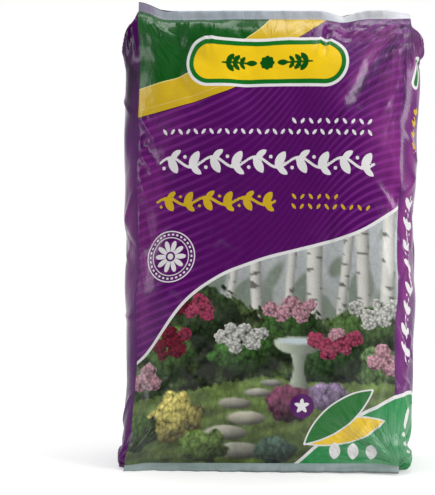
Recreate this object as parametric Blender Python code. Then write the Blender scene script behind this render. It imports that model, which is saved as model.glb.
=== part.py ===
"""A filled film sack with side gussets, welded flat at both ends, standing on its base.

Metres, +Z up, the front panel facing -Y. The origin is the centre of the base.

The sack starts as an upright tube of film, closed at both ends. Each of its points is then moved to
where the filling, the two welds and the tucked gussets put it. Rows of points run up the film from
the free edge of the base weld to the free edge of the top weld. Columns run round it: front panel,
right side, back panel, left side.
"""

import math
from collections import namedtuple

import bmesh
import bpy
from mathutils import Vector

# The film at its two welds
PANEL_WIDTH = 0.382
WELD_STRIP = 0.0125
WELD_THICKNESS = 0.0014
END_BOW = 0.0006

# The filled body
TOP_WELD_HEIGHT = 0.628
BASE_WELD_HEIGHT = 0.0145
BODY_DEPTH = 0.165
SHOULDER_DROP = 0.300
SHOULDER_ROUNDNESS = 2.4
TOP_BLUNTNESS = 0.7
PANEL_DRAW_IN = 0.0085
LEFT_DRAW_IN = 0.0055
LEFT_DRAW_IN_PLACE = 0.190
LEFT_DRAW_IN_REACH = 0.130
PANEL_FLATNESS = 6
SIDE_BULGE = 0.0215
SIDE_FLATNESS = 2.2
TOP_SIDE_REACH = 0.026
BASE_SIDE_REACH = 0.012
SHOULDER_PLACE = 0.050
LEFT_SHOULDER = 0.0055
LEFT_SHOULDER_REACH = 0.050
RIGHT_SHOULDER = 0.009
RIGHT_SHOULDER_REACH = 0.110
LEFT_FOOT = -0.006
RIGHT_FOOT = 0.0045
SIDE_FOOT_REACH = 0.075
EDGE_SETBACK = 0.023
SETBACK_LIMIT = 0.6
HEEL_RADIUS = 0.030
FOOT_SETBACK = 0.008
FOOT_REACH = 0.035
SOLE_RISE = 0.030
SOLE_FLATTENING = 0.003
LEAN = 0.010
SKEW = 0.005

# Gussets, tucked in at the welds
TOP_TUCK_DEPTH = 0.055
TOP_TUCK_REACH = 0.045
BASE_TUCK_DEPTH = 0.020
BASE_TUCK_REACH = 0.030
FOLD_LINE_DEPTH = 0.004
FOLD_LINE_WIDTH = 0.012

# How the welds lie
EAR_RISE = 0.0125
EAR_REACH = 0.042
DIP_PLACE = 0.098
DIP_DEPTH = 0.005
DIP_WIDTH = 0.020
TOP_WAVE = 0.004
TOP_WAVE_LENGTH = 0.230
WELD_PULL = 0.060
TOP_STRIP_LEAN = math.radians(8)
DIP_STRIP_LEAN = math.radians(45)
END_STRIP_LEAN = math.radians(60)
END_STRIP_REACH = 0.040
BASE_STRIP_LEAN = math.radians(25)
BASE_EAR_LEAN = math.radians(52)
BASE_EAR_REACH = 0.035
BASE_EAR_DROP = 0.003
BASE_TILT = 0.0025

# Gathers that run from each weld into the panels
GATHER_PITCH = 0.058
GATHER_PHASE = 0.7
GATHER_DEPTH = 0.0022
GATHER_START = 0.011
GATHER_REACH = 0.055

# Fullness of the filling between the creases
LUMP_SIZE = 0.110
LUMP_DEPTH = 0.0018
LUMP_SLANT = 0.4
LUMP_CROSS_SLANT = -0.3
LUMP_STRETCH = 1.3

# Where the creases, gathers and lumps end: short of a panel's edges, and short of its middle plane
EDGE_FADE = 0.125
SIDE_EDGE_FADE = 0.25
SINK_LIMIT = 0.5

# Mesh
PANEL_COLUMNS = 28
SIDE_COLUMNS = 10
BODY_ROWS = 66
STRIP_FACE = 0.006
ROW_CROWDING = 0.60

# Finish
FILM_COLOUR = (0.091, 0.0009, 0.122, 1.0)
FILM_ROUGHNESS = 0.28

# A crease of the film: a line on a panel along which it sinks, between two low ridges, or, where its
# depth is negative, rises. Places across are measured from the panel's middle, heights from the floor.
Crease = namedtuple("Crease", "start_across start_height end_across end_height width depth")

FRONT_CREASES = (
    Crease(0.184, 0.609, 0.116, 0.509, 0.015, 0.0110),
    Crease(0.190, 0.615, 0.152, 0.544, 0.009, -0.0040),
    Crease(0.160, 0.617, 0.124, 0.553, 0.009, -0.0030),
    Crease(0.094, 0.622, 0.092, 0.588, 0.011, 0.0060),
    Crease(-0.128, 0.622, -0.150, 0.505, 0.013, 0.0045),
    Crease(-0.189, 0.490, -0.162, 0.446, 0.009, -0.0030),
    Crease(-0.189, 0.464, -0.166, 0.434, 0.009, 0.0030),
    Crease(-0.189, 0.446, -0.164, 0.408, 0.009, -0.0030),
    Crease(0.108, 0.026, 0.176, 0.116, 0.010, -0.0025),
    Crease(0.130, 0.034, 0.182, 0.098, 0.011, 0.0030),
    Crease(-0.170, 0.053, -0.100, 0.128, 0.012, 0.0030),
)
BACK_CREASES = (
    Crease(0.181, 0.611, 0.106, 0.500, 0.014, 0.0075),
    Crease(-0.181, 0.611, -0.121, 0.488, 0.014, 0.0070),
    Crease(0.041, 0.625, 0.031, 0.550, 0.009, -0.0030),
    Crease(0.187, 0.385, 0.141, 0.290, 0.010, -0.0035),
    Crease(-0.187, 0.266, -0.146, 0.158, 0.010, -0.0035),
    Crease(-0.187, 0.482, -0.151, 0.400, 0.010, 0.0030),
)

# A place where the filling pushes the film out, or where it falls in behind it. Places across are
# measured from the middle of a panel or of a gusseted side, heights from the floor.
Swell = namedtuple("Swell", "across height half_width half_height rise")

FRONT_SWELLS = (
    Swell(-0.100, 0.612, 0.060, 0.018, 0.005),
    Swell(-0.022, 0.590, 0.025, 0.035, -0.009),
    Swell(0.078, 0.562, 0.028, 0.022, 0.005),
    Swell(0.145, 0.590, 0.022, 0.030, -0.005),
    Swell(-0.050, 0.440, 0.040, 0.030, 0.005),
    Swell(0.150, 0.240, 0.035, 0.050, 0.004),
    Swell(-0.160, 0.055, 0.045, 0.030, 0.005),
    Swell(-0.150, 0.250, 0.030, 0.030, 0.003),
)
BACK_SWELLS = (
    Swell(-0.060, 0.500, 0.110, 0.065, 0.008),
    Swell(-0.165, 0.510, 0.030, 0.040, 0.004),
    Swell(0.110, 0.500, 0.100, 0.090, 0.004),
    Swell(0.165, 0.335, 0.030, 0.045, 0.006),
    Swell(-0.155, 0.330, 0.040, 0.050, 0.003),
)
RIGHT_SWELLS = (
    Swell(0.000, 0.190, 0.035, 0.100, 0.008),
    Swell(0.035, 0.490, 0.024, 0.060, -0.003),
    Swell(-0.045, 0.450, 0.020, 0.060, 0.004),
)
LEFT_SWELLS = (
    Swell(0.000, 0.390, 0.035, 0.080, 0.004),
    Swell(-0.035, 0.540, 0.024, 0.050, 0.006),
    Swell(0.045, 0.540, 0.024, 0.040, 0.004),
    Swell(0.048, 0.170, 0.020, 0.080, -0.004),
)

# Where an edge between a panel and a gusseted side is more rounded
Rounding = namedtuple("Rounding", "side panel height half_height setback")

EDGE_ROUNDINGS = (
    Rounding("left", "front", 0.540, 0.080, -0.008),
    Rounding("right", "front", 0.540, 0.070, -0.009),
    Rounding("right", "back", 0.460, 0.040, 0.004),
    Rounding("left", "back", 0.150, 0.080, 0.009),
    Rounding("left", "front", 0.320, 0.040, 0.004),
)

# The sides in the order that the columns go round them, seen from above against the clock
SIDES = (
    ("front", PANEL_COLUMNS),
    ("right", SIDE_COLUMNS),
    ("back", PANEL_COLUMNS),
    ("left", SIDE_COLUMNS),
)
AROUND = 2 * (PANEL_COLUMNS + SIDE_COLUMNS)
STRIP_ROWS = max(round(WELD_STRIP / STRIP_FACE), 1)
ROWS = BODY_ROWS + 2 * STRIP_ROWS


def ease(share):
    """Rise smoothly from 0 to 1 as the share goes from 0 to 1."""
    share = min(max(share, 0.0), 1.0)
    return share * share * (3 - 2 * share)


def bell(distance, width):
    """Fall from 1 on a line to nothing a width or two away from it."""
    return math.exp(-(distance / width) ** 2)


def fullness(height):
    """The share of its full depth that the sack has at a height, as it closes to the top weld."""
    climb = (height - (TOP_WELD_HEIGHT - SHOULDER_DROP)) / SHOULDER_DROP
    climb = min(max(climb, 0.0), 1.0)
    return (1 - climb ** SHOULDER_ROUNDNESS) ** TOP_BLUNTNESS


def front_reach(height):
    """How far the front panel stands from the sack's middle plane, set back at the foot."""
    foot = FOOT_SETBACK * math.exp(-max(height - BASE_WELD_HEIGHT, 0.0) / FOOT_REACH)
    return (BODY_DEPTH / 2 - foot) * fullness(height)


def front_profile(share):
    """The middle of the front panel at a share of its length from the base weld line to the top one."""
    height = BASE_WELD_HEIGHT + (TOP_WELD_HEIGHT - BASE_WELD_HEIGHT) * share
    return Vector((0.0, -front_reach(height), height))


def back_profile(share):
    """The same on the back panel, which first runs under the sack and round the heel."""
    weld_y = -front_reach(BASE_WELD_HEIGHT)
    sole = BODY_DEPTH / 2 - HEEL_RADIUS - weld_y
    heel = HEEL_RADIUS * math.pi / 2
    rise = TOP_WELD_HEIGHT - HEEL_RADIUS
    run = share * (sole + heel + rise)
    if run < sole:
        height = BASE_WELD_HEIGHT * max(1 - run / SOLE_RISE, 0.0) ** 2
        return Vector((0.0, weld_y + run, height))
    if run < sole + heel:
        turn = (run - sole) / HEEL_RADIUS
        y = BODY_DEPTH / 2 - HEEL_RADIUS * (1 - math.sin(turn))
        return Vector((0.0, y, HEEL_RADIUS * (1 - math.cos(turn))))
    height = HEEL_RADIUS + run - sole - heel
    return Vector((0.0, BODY_DEPTH / 2 * fullness(height), height))


def crease_depth(creases, across, height):
    """How far a panel's creases sink it at a place on it."""
    depth = 0.0
    place = Vector((across, height))
    for crease in creases:
        start = Vector((crease.start_across, crease.start_height))
        run = Vector((crease.end_across, crease.end_height)) - start
        along = (place - start).dot(run) / run.length_squared
        nearest = start + run * min(max(along, 0.0), 1.0)
        ratio = (place - nearest).length / crease.width
        depth += crease.depth * (1 - ratio * ratio) * math.exp(-ratio * ratio)
    return depth


def swell_rise(swells, across, height):
    """How far a side's swells push it out at a place on it."""
    rise = 0.0
    for swell in swells:
        aside = bell(across - swell.across, swell.half_width)
        rise += swell.rise * aside * bell(height - swell.height, swell.half_height)
    return rise


def edge_setback(side, panel, height, half_chord):
    """How far the edge between a gusseted side and a panel lies behind the panel's middle."""
    setback = EDGE_SETBACK
    for rounding in EDGE_ROUNDINGS:
        if (rounding.side, rounding.panel) == (side, panel):
            setback += rounding.setback * bell(height - rounding.height, rounding.half_height)
    return min(setback, SETBACK_LIMIT * half_chord)


def gather_depth(across, film_to_weld):
    """How far the gathers sink a panel near a weld."""
    wave = math.cos(2 * math.pi * across / GATHER_PITCH + GATHER_PHASE)
    start = ease(film_to_weld / GATHER_START)
    return GATHER_DEPTH * wave * start * math.exp(-film_to_weld / GATHER_REACH)


def lump_depth(across, height, film_to_weld):
    """How far the uneven filling sinks a panel away from the welds."""
    slow = math.sin(2 * math.pi * (across + LUMP_SLANT * height) / LUMP_SIZE)
    cross = math.sin(2 * math.pi * (height + LUMP_CROSS_SLANT * across) / (LUMP_STRETCH * LUMP_SIZE))
    return LUMP_DEPTH * slow * cross * ease(film_to_weld / WELD_PULL)


def top_weld_shift(across):
    """How far the top weld is moved from a straight line: a raised ear, a dip and a slow wave."""
    left_end = -PANEL_WIDTH / 2
    rise = EAR_RISE * ease((left_end + EAR_REACH - across) / EAR_REACH)
    dip = DIP_DEPTH * bell(across - DIP_PLACE, DIP_WIDTH)
    wave = TOP_WAVE * math.sin(2 * math.pi * across / TOP_WAVE_LENGTH)
    return Vector((0.0, wave, rise - dip))


def base_weld_shift(across):
    """How far the base weld is moved: it tilts a little, and its two ends drop and reach forward."""
    end = ease((abs(across) - PANEL_WIDTH / 2 + BASE_EAR_REACH) / BASE_EAR_REACH)
    tilt = BASE_TILT * across / (PANEL_WIDTH / 2)
    return Vector((0.0, -BASE_EAR_DROP * end, tilt - BASE_EAR_DROP * end))


def top_strip_direction(across):
    """The way the top weld's strip stands, leaning back in the dip and at its right end."""
    right_end = PANEL_WIDTH / 2
    end = ease((across - right_end + END_STRIP_REACH) / END_STRIP_REACH)
    dip = bell(across - DIP_PLACE, DIP_WIDTH)
    lean = TOP_STRIP_LEAN + (DIP_STRIP_LEAN - TOP_STRIP_LEAN) * dip
    lean += (END_STRIP_LEAN - lean) * end
    return Vector((0.0, math.sin(lean), math.cos(lean)))


def base_strip_direction(across):
    """The way the base weld's strip hangs, leaning forward, and more so at its ends."""
    end = ease((abs(across) - PANEL_WIDTH / 2 + BASE_EAR_REACH) / BASE_EAR_REACH)
    lean = BASE_STRIP_LEAN + (BASE_EAR_LEAN - BASE_STRIP_LEAN) * end
    return Vector((0.0, -math.sin(lean), -math.cos(lean)))


def film_place(column):
    """The side of the sack that a column is on, and its place across that side, from -1 to 1."""
    for side, columns in SIDES:
        if column < columns:
            return side, 2 * column / columns - 1
        column -= columns
    raise ValueError("no such column")


def row_share(row):
    """The share of the film's length at a body row, with the rows closer together near the welds."""
    even = row / BODY_ROWS
    return even - ROW_CROWDING * math.sin(2 * math.pi * even) / (2 * math.pi)


def shoulder_bulge(side, film_to_top):
    """How much further a side stands out below the top weld, more widely on the right."""
    if side == "right":
        return RIGHT_SHOULDER * bell(film_to_top - SHOULDER_PLACE, RIGHT_SHOULDER_REACH)
    return LEFT_SHOULDER * bell(film_to_top - SHOULDER_PLACE, LEFT_SHOULDER_REACH)


def foot_bulge(side, film_to_base):
    """How much further a side stands out above the base weld."""
    foot = RIGHT_FOOT if side == "right" else LEFT_FOOT
    return foot * (1 - ease(film_to_base / SIDE_FOOT_REACH))


def half_width(share, height, away_from_weld):
    """How far a panel's edge lies from its middle, drawn in away from the welds, and more so low on the left."""
    left = max(-share, 0.0) * LEFT_DRAW_IN * bell(height - LEFT_DRAW_IN_PLACE, LEFT_DRAW_IN_REACH)
    return PANEL_WIDTH / 2 - (PANEL_DRAW_IN + left) * away_from_weld


def side_reach(side, place, film_to_top, film_to_base):
    """How far a gusseted side stands out from the edges of the two panels."""
    film_to_weld = min(film_to_top, film_to_base)
    at_top = film_to_top < film_to_base
    depth = TOP_TUCK_DEPTH if at_top else BASE_TUCK_DEPTH
    reach = TOP_TUCK_REACH if at_top else BASE_TUCK_REACH
    spread = TOP_SIDE_REACH if at_top else BASE_SIDE_REACH
    tuck = depth * (1 - ease(film_to_weld / reach)) * ease(film_to_weld / WELD_THICKNESS)
    bulge = SIDE_BULGE + shoulder_bulge(side, film_to_top) + foot_bulge(side, film_to_base)
    bulge *= ease(film_to_weld / spread)
    fold = 1 - abs(place)
    return END_BOW + bulge * (1 - abs(place) ** SIDE_FLATNESS) - tuck * fold * fold


def body_point(side, place, share):
    """A point of the filled body between the two weld lines."""
    front = front_profile(share)
    back = back_profile(share)
    middle = (front + back) / 2
    chord = front - back
    film_to_top = (1 - share) * (TOP_WELD_HEIGHT - BASE_WELD_HEIGHT)
    film_to_base = share * (TOP_WELD_HEIGHT - BASE_WELD_HEIGHT)
    film_to_weld = min(film_to_top, film_to_base)

    if film_to_weld < 1e-6:
        outward = Vector((0.0, -1.0, 0.0)) if share > 0.5 else Vector((0.0, -1.0, 1.0)).normalized()
    else:
        outward = chord.normalized()
    half_chord = max(chord.length / 2, WELD_THICKNESS / 2)
    away_from_weld = ease(film_to_weld / WELD_PULL)

    if side in ("front", "back"):
        facing = 1 if side == "front" else -1
        height = (front if side == "front" else back).z
        across = facing * place * half_width(facing * place, height, away_from_weld)
        creases = FRONT_CREASES if side == "front" else BACK_CREASES
        swells = FRONT_SWELLS if side == "front" else BACK_SWELLS
        sink = crease_depth(creases, across, height) - swell_rise(swells, across, height)
        sink += gather_depth(across, film_to_weld)
        sink += lump_depth(facing * across, height, film_to_weld)
        sink *= ease(film_to_weld / GATHER_START) * ease((1 - abs(place)) / EDGE_FADE)
        nearer_side = "right" if across > 0 else "left"
        setback = edge_setback(nearer_side, side, height, half_chord) * away_from_weld
        reach = half_chord - setback * abs(place) ** PANEL_FLATNESS
        point = middle + outward * facing * (reach - min(sink, SINK_LIMIT * reach))
    else:
        facing = 1 if side == "right" else -1
        front_edge = half_chord - edge_setback(side, "front", front.z, half_chord) * away_from_weld
        back_edge = half_chord - edge_setback(side, "back", back.z, half_chord) * away_from_weld
        from_back = (1 - facing * place) / 2
        from_middle = from_back * front_edge - (1 - from_back) * back_edge
        point = middle + outward * from_middle
        swells = RIGHT_SWELLS if side == "right" else LEFT_SWELLS
        swell = swell_rise(swells, point.y, point.z) * ease((1 - abs(place)) / SIDE_EDGE_FADE)
        fold_line = FOLD_LINE_DEPTH * bell(from_middle, FOLD_LINE_WIDTH)
        fold_line *= ease(film_to_weld / TOP_TUCK_REACH)
        reach = side_reach(side, place, film_to_top, film_to_base)
        edge = half_width(facing, point.z, away_from_weld)
        across = facing * (edge + reach + swell * away_from_weld - fold_line)

    point.x = across
    pull_top = 1 - ease(film_to_top / WELD_PULL)
    pull_base = 1 - ease(film_to_base / WELD_PULL)
    point += top_weld_shift(across) * pull_top + base_weld_shift(across) * pull_base
    return point


def strip_point(side, place, from_weld, at_top):
    """A point of a weld's flat strip, at a share of the way from its weld line to its free edge."""
    share = 1.0 if at_top else 0.0
    line = front_profile(share)
    if side in ("front", "back"):
        facing = 1 if side == "front" else -1
        across = facing * place * PANEL_WIDTH / 2
        layer = facing
    else:
        facing = 1 if side == "right" else -1
        across = facing * (PANEL_WIDTH / 2 + END_BOW * (1 - place ** 2))
        layer = -facing * place
    if at_top:
        shift = top_weld_shift(across)
        run = top_strip_direction(across)
        outward = Vector((0.0, -run.z, run.y))
    else:
        shift = base_weld_shift(across)
        run = base_strip_direction(across)
        outward = Vector((0.0, run.z, -run.y))
    point = line + shift + run * WELD_STRIP * from_weld + outward * layer * WELD_THICKNESS / 2
    point.x = across
    return point


def film_point(column, row):
    """The place of the point at a column and a row of the film."""
    side, place = film_place(column)
    body_row = row - STRIP_ROWS
    if body_row < 0:
        return strip_point(side, place, -body_row / STRIP_ROWS, at_top=False)
    if body_row > BODY_ROWS:
        return strip_point(side, place, (body_row - BODY_ROWS) / STRIP_ROWS, at_top=True)
    return body_point(side, place, row_share(body_row))


def settle(point):
    """Rest the body on the floor: its underside spreads flat, and it leans right and is a little askew."""
    stand = TOP_WELD_HEIGHT / (TOP_WELD_HEIGHT - SOLE_FLATTENING)
    height = max((point.z - SOLE_FLATTENING) * stand, 0.0)
    rise = height / TOP_WELD_HEIGHT
    askew = SKEW * (rise - 0.5) * point.y / (BODY_DEPTH / 2)
    return Vector((point.x + LEAN * rise - askew, point.y, height))


def make_tube(bm):
    """A closed upright tube, one unit high, with a ring of points for each row."""
    bmesh.ops.create_cone(bm, cap_ends=True, segments=AROUND, radius1=1, radius2=1, depth=1)
    uprights = [edge for edge in bm.edges if abs(edge.verts[0].co.z - edge.verts[1].co.z) > 0.5]
    bmesh.ops.subdivide_edges(bm, edges=uprights, cuts=ROWS - 1)


def shape_film(bm):
    """Move each point of the tube to its place on the filled sack."""
    step = 2 * math.pi / AROUND
    grid = {}
    for vert in bm.verts:
        column = round(math.atan2(-vert.co.x, vert.co.y) / step) % AROUND
        row = round((vert.co.z + 0.5) * ROWS)
        grid[column, row] = vert
    for (column, row), vert in grid.items():
        vert.co = settle(film_point(column, row))
    return grid


def split_ends(bm, grid):
    """Divide each weld's free edge into short faces that run from the front film to the back film."""
    for row in (0, ROWS):
        for column in range(1, PANEL_COLUMNS):
            opposite = 2 * PANEL_COLUMNS + SIDE_COLUMNS - column
            bmesh.ops.connect_verts(bm, verts=[grid[column, row], grid[opposite, row]])


def centre(bm):
    """Bring the middle of the sack's box onto the Z axis, and its lowest point to the floor."""
    low = [min(vert.co[axis] for vert in bm.verts) for axis in range(3)]
    high = [max(vert.co[axis] for vert in bm.verts) for axis in range(3)]
    shift = Vector((-(low[0] + high[0]) / 2, -(low[1] + high[1]) / 2, -low[2]))
    bmesh.ops.translate(bm, verts=bm.verts, vec=shift)


def film_material():
    """Glossy printed film."""
    material = bpy.data.materials.new("printed_film")
    material.use_nodes = True
    shader = material.node_tree.nodes["Principled BSDF"]
    shader.inputs["Base Color"].default_value = FILM_COLOUR
    shader.inputs["Roughness"].default_value = FILM_ROUGHNESS
    shader.inputs["Metallic"].default_value = 0.0
    return material


def build_bag():
    """Make the sack's object."""
    bm = bmesh.new()
    make_tube(bm)
    grid = shape_film(bm)
    split_ends(bm, grid)
    centre(bm)
    bmesh.ops.triangulate(bm, faces=bm.faces)
    mesh = bpy.data.meshes.new("bag")
    bm.to_mesh(mesh)
    bm.free()
    mesh.shade_smooth()
    mesh.materials.append(film_material())
    bag = bpy.data.objects.new("bag", mesh)
    bpy.context.scene.collection.objects.link(bag)
    return bag


for leftover in list(bpy.data.objects):
    bpy.data.objects.remove(leftover, do_unlink=True)
build_bag()
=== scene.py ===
"""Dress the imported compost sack: glossy printed film, creased over a loose filling.

The sack is one tube of film with a tucked gusset in each side, welded flat across both ends. The film
is laid out as a lattice of columns round the tube and rows up it, draped by a short cloth run, creased
and then printed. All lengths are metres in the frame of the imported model.
"""

from __future__ import annotations

import logging
import math
from dataclasses import dataclass, field
from enum import Enum, IntEnum
from typing import Callable, NamedTuple

import bmesh
import bpy
import numpy as np
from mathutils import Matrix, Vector

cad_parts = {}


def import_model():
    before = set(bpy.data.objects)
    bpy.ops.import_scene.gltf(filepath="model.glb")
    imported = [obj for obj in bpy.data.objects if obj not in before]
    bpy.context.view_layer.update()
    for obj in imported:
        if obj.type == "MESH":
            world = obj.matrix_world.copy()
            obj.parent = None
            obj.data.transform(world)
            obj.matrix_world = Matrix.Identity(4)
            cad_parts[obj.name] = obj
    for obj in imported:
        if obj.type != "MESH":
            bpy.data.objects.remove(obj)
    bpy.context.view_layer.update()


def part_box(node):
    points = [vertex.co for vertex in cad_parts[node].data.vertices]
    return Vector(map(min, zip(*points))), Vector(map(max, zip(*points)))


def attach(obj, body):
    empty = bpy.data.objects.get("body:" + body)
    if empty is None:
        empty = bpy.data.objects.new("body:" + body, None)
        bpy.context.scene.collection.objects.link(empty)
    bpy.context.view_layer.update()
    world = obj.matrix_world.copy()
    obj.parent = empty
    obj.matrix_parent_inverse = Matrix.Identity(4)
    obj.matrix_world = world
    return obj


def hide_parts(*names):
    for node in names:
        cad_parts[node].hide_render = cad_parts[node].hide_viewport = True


log = logging.getLogger("sack")

Array = np.ndarray
Pair = tuple[float, float]
Triple = tuple[float, float, float]
Curve = tuple[Pair, ...]
PHOTO_SIZE = (435, 495)


class Side(IntEnum):
    """The four sides of the film tube, in the order that the columns go round it."""

    FRONT = 0
    RIGHT = 1
    BACK = 2
    LEFT = 3


def ease(share: Array | float) -> Array:
    """Rise smoothly from 0 to 1 as the share goes from 0 to 1."""
    share = np.clip(share, 0.0, 1.0)
    return share * share * (3 - 2 * share)


def bell(distance: Array, width: float) -> Array:
    """Fall from 1 on a line to nothing a width or two away from it."""
    return np.exp(-((distance / width) ** 2))


def facing_of(side: Array) -> Array:
    """1 on the front and right sides, -1 on the back and left ones."""
    return np.where((side == Side.FRONT) | (side == Side.RIGHT), 1, -1)


def is_panel(side: Array) -> Array:
    """Whether each place lies on one of the two wide panels."""
    return (side == Side.FRONT) | (side == Side.BACK)


def outward_normals(points: Array) -> Array:
    """Unit normals of a film laid out as rows of columns, closed round the columns."""
    around = np.roll(points, -1, axis=1) - np.roll(points, 1, axis=1)
    normal = np.cross(around, np.gradient(points, axis=0))
    return normal / np.maximum(np.linalg.norm(normal, axis=2, keepdims=True), 1e-9)


def make_mesh(name: str, bm: bmesh.types.BMesh) -> bpy.types.Mesh:
    """Turn a finished bmesh into a mesh, and free it."""
    mesh = bpy.data.meshes.new(name)
    bm.to_mesh(mesh)
    bm.free()
    return mesh


def set_points(mesh: bpy.types.Mesh, points: Array) -> None:
    """Move a mesh's vertices to new points."""
    mesh.vertices.foreach_set("co", np.asarray(points, dtype=np.float32).ravel())
    mesh.update()


def get_points(mesh: bpy.types.Mesh) -> Array:
    """Return a mesh's vertices as rows of x, y, z."""
    flat = np.empty(len(mesh.vertices) * 3, dtype=np.float32)
    mesh.vertices.foreach_get("co", flat)
    return flat.reshape(-1, 3).astype(float)


def add_object(name: str, data: bpy.types.ID) -> bpy.types.Object:
    """Add an object to the scene."""
    thing = bpy.data.objects.new(name, data)
    bpy.context.collection.objects.link(thing)
    return thing


def point_along(thing: bpy.types.Object, way: Vector, axis: str) -> None:
    """Turn an object so that one of its axes points a given way."""
    thing.rotation_mode = "QUATERNION"
    thing.rotation_quaternion = way.to_track_quat(axis, "Y")


@dataclass(frozen=True)
class FilmLattice:
    """Columns of points round the film tube and rows of points up it.

    Args:
        panel_columns: columns across the front panel.
        side_columns: columns across each gusseted side.
        back_columns: columns across the back panel.
        body_rows: steps between the two weld lines.
        strip_rows: steps across each weld's flat strip, or 0 to leave the strips out.
        crowding: how much closer the rows lie near the welds, from 0 to 1.
    """

    panel_columns: int
    side_columns: int
    back_columns: int
    body_rows: int
    strip_rows: int
    crowding: float

    @property
    def spans(self) -> tuple[tuple[Side, int], ...]:
        """Each side with its count of columns."""
        return (
            (Side.FRONT, self.panel_columns),
            (Side.RIGHT, self.side_columns),
            (Side.BACK, self.back_columns),
            (Side.LEFT, self.side_columns),
        )

    @property
    def columns(self) -> int:
        """Columns all round the tube."""
        return self.panel_columns + self.back_columns + 2 * self.side_columns

    @property
    def rows(self) -> int:
        """Steps from the base weld's free edge to the top weld's."""
        return self.body_rows + 2 * self.strip_rows

    def sides(self) -> Array:
        """The side that each column starts."""
        return np.concatenate([np.full(count, int(side)) for side, count in self.spans])

    def places(self) -> Array:
        """Each column's place across its side, from -1 to 1."""
        return np.concatenate([-1 + 2 * np.arange(count) / count for _, count in self.spans])

    def shares(self) -> Array:
        """The share of the film's length at each body row, from 0 to 1."""
        even = np.arange(self.body_rows + 1) / self.body_rows
        return even - self.crowding * np.sin(2 * np.pi * even) / (2 * np.pi)

    def make_tube(self) -> bmesh.types.BMesh:
        """Return a closed upright tube, one unit high, with a ring of points for each row."""
        bm = bmesh.new()
        bmesh.ops.create_cone(bm, cap_ends=True, segments=self.columns, radius1=1, radius2=1, depth=1)
        uprights = [edge for edge in bm.edges if abs(edge.verts[0].co.z - edge.verts[1].co.z) > 0.5]
        bmesh.ops.subdivide_edges(bm, edges=uprights, cuts=self.rows - 1)
        return bm

    def address(self, tube_points: Array) -> tuple[Array, Array]:
        """Return the row and the column of each point of the tube that make_tube returns."""
        turn = np.arctan2(-tube_points[:, 0], tube_points[:, 1])
        column = np.rint(turn / (2 * np.pi) * self.columns).astype(int) % self.columns
        row = np.rint((tube_points[:, 2] + 0.5) * self.rows).astype(int)
        return row, column


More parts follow.
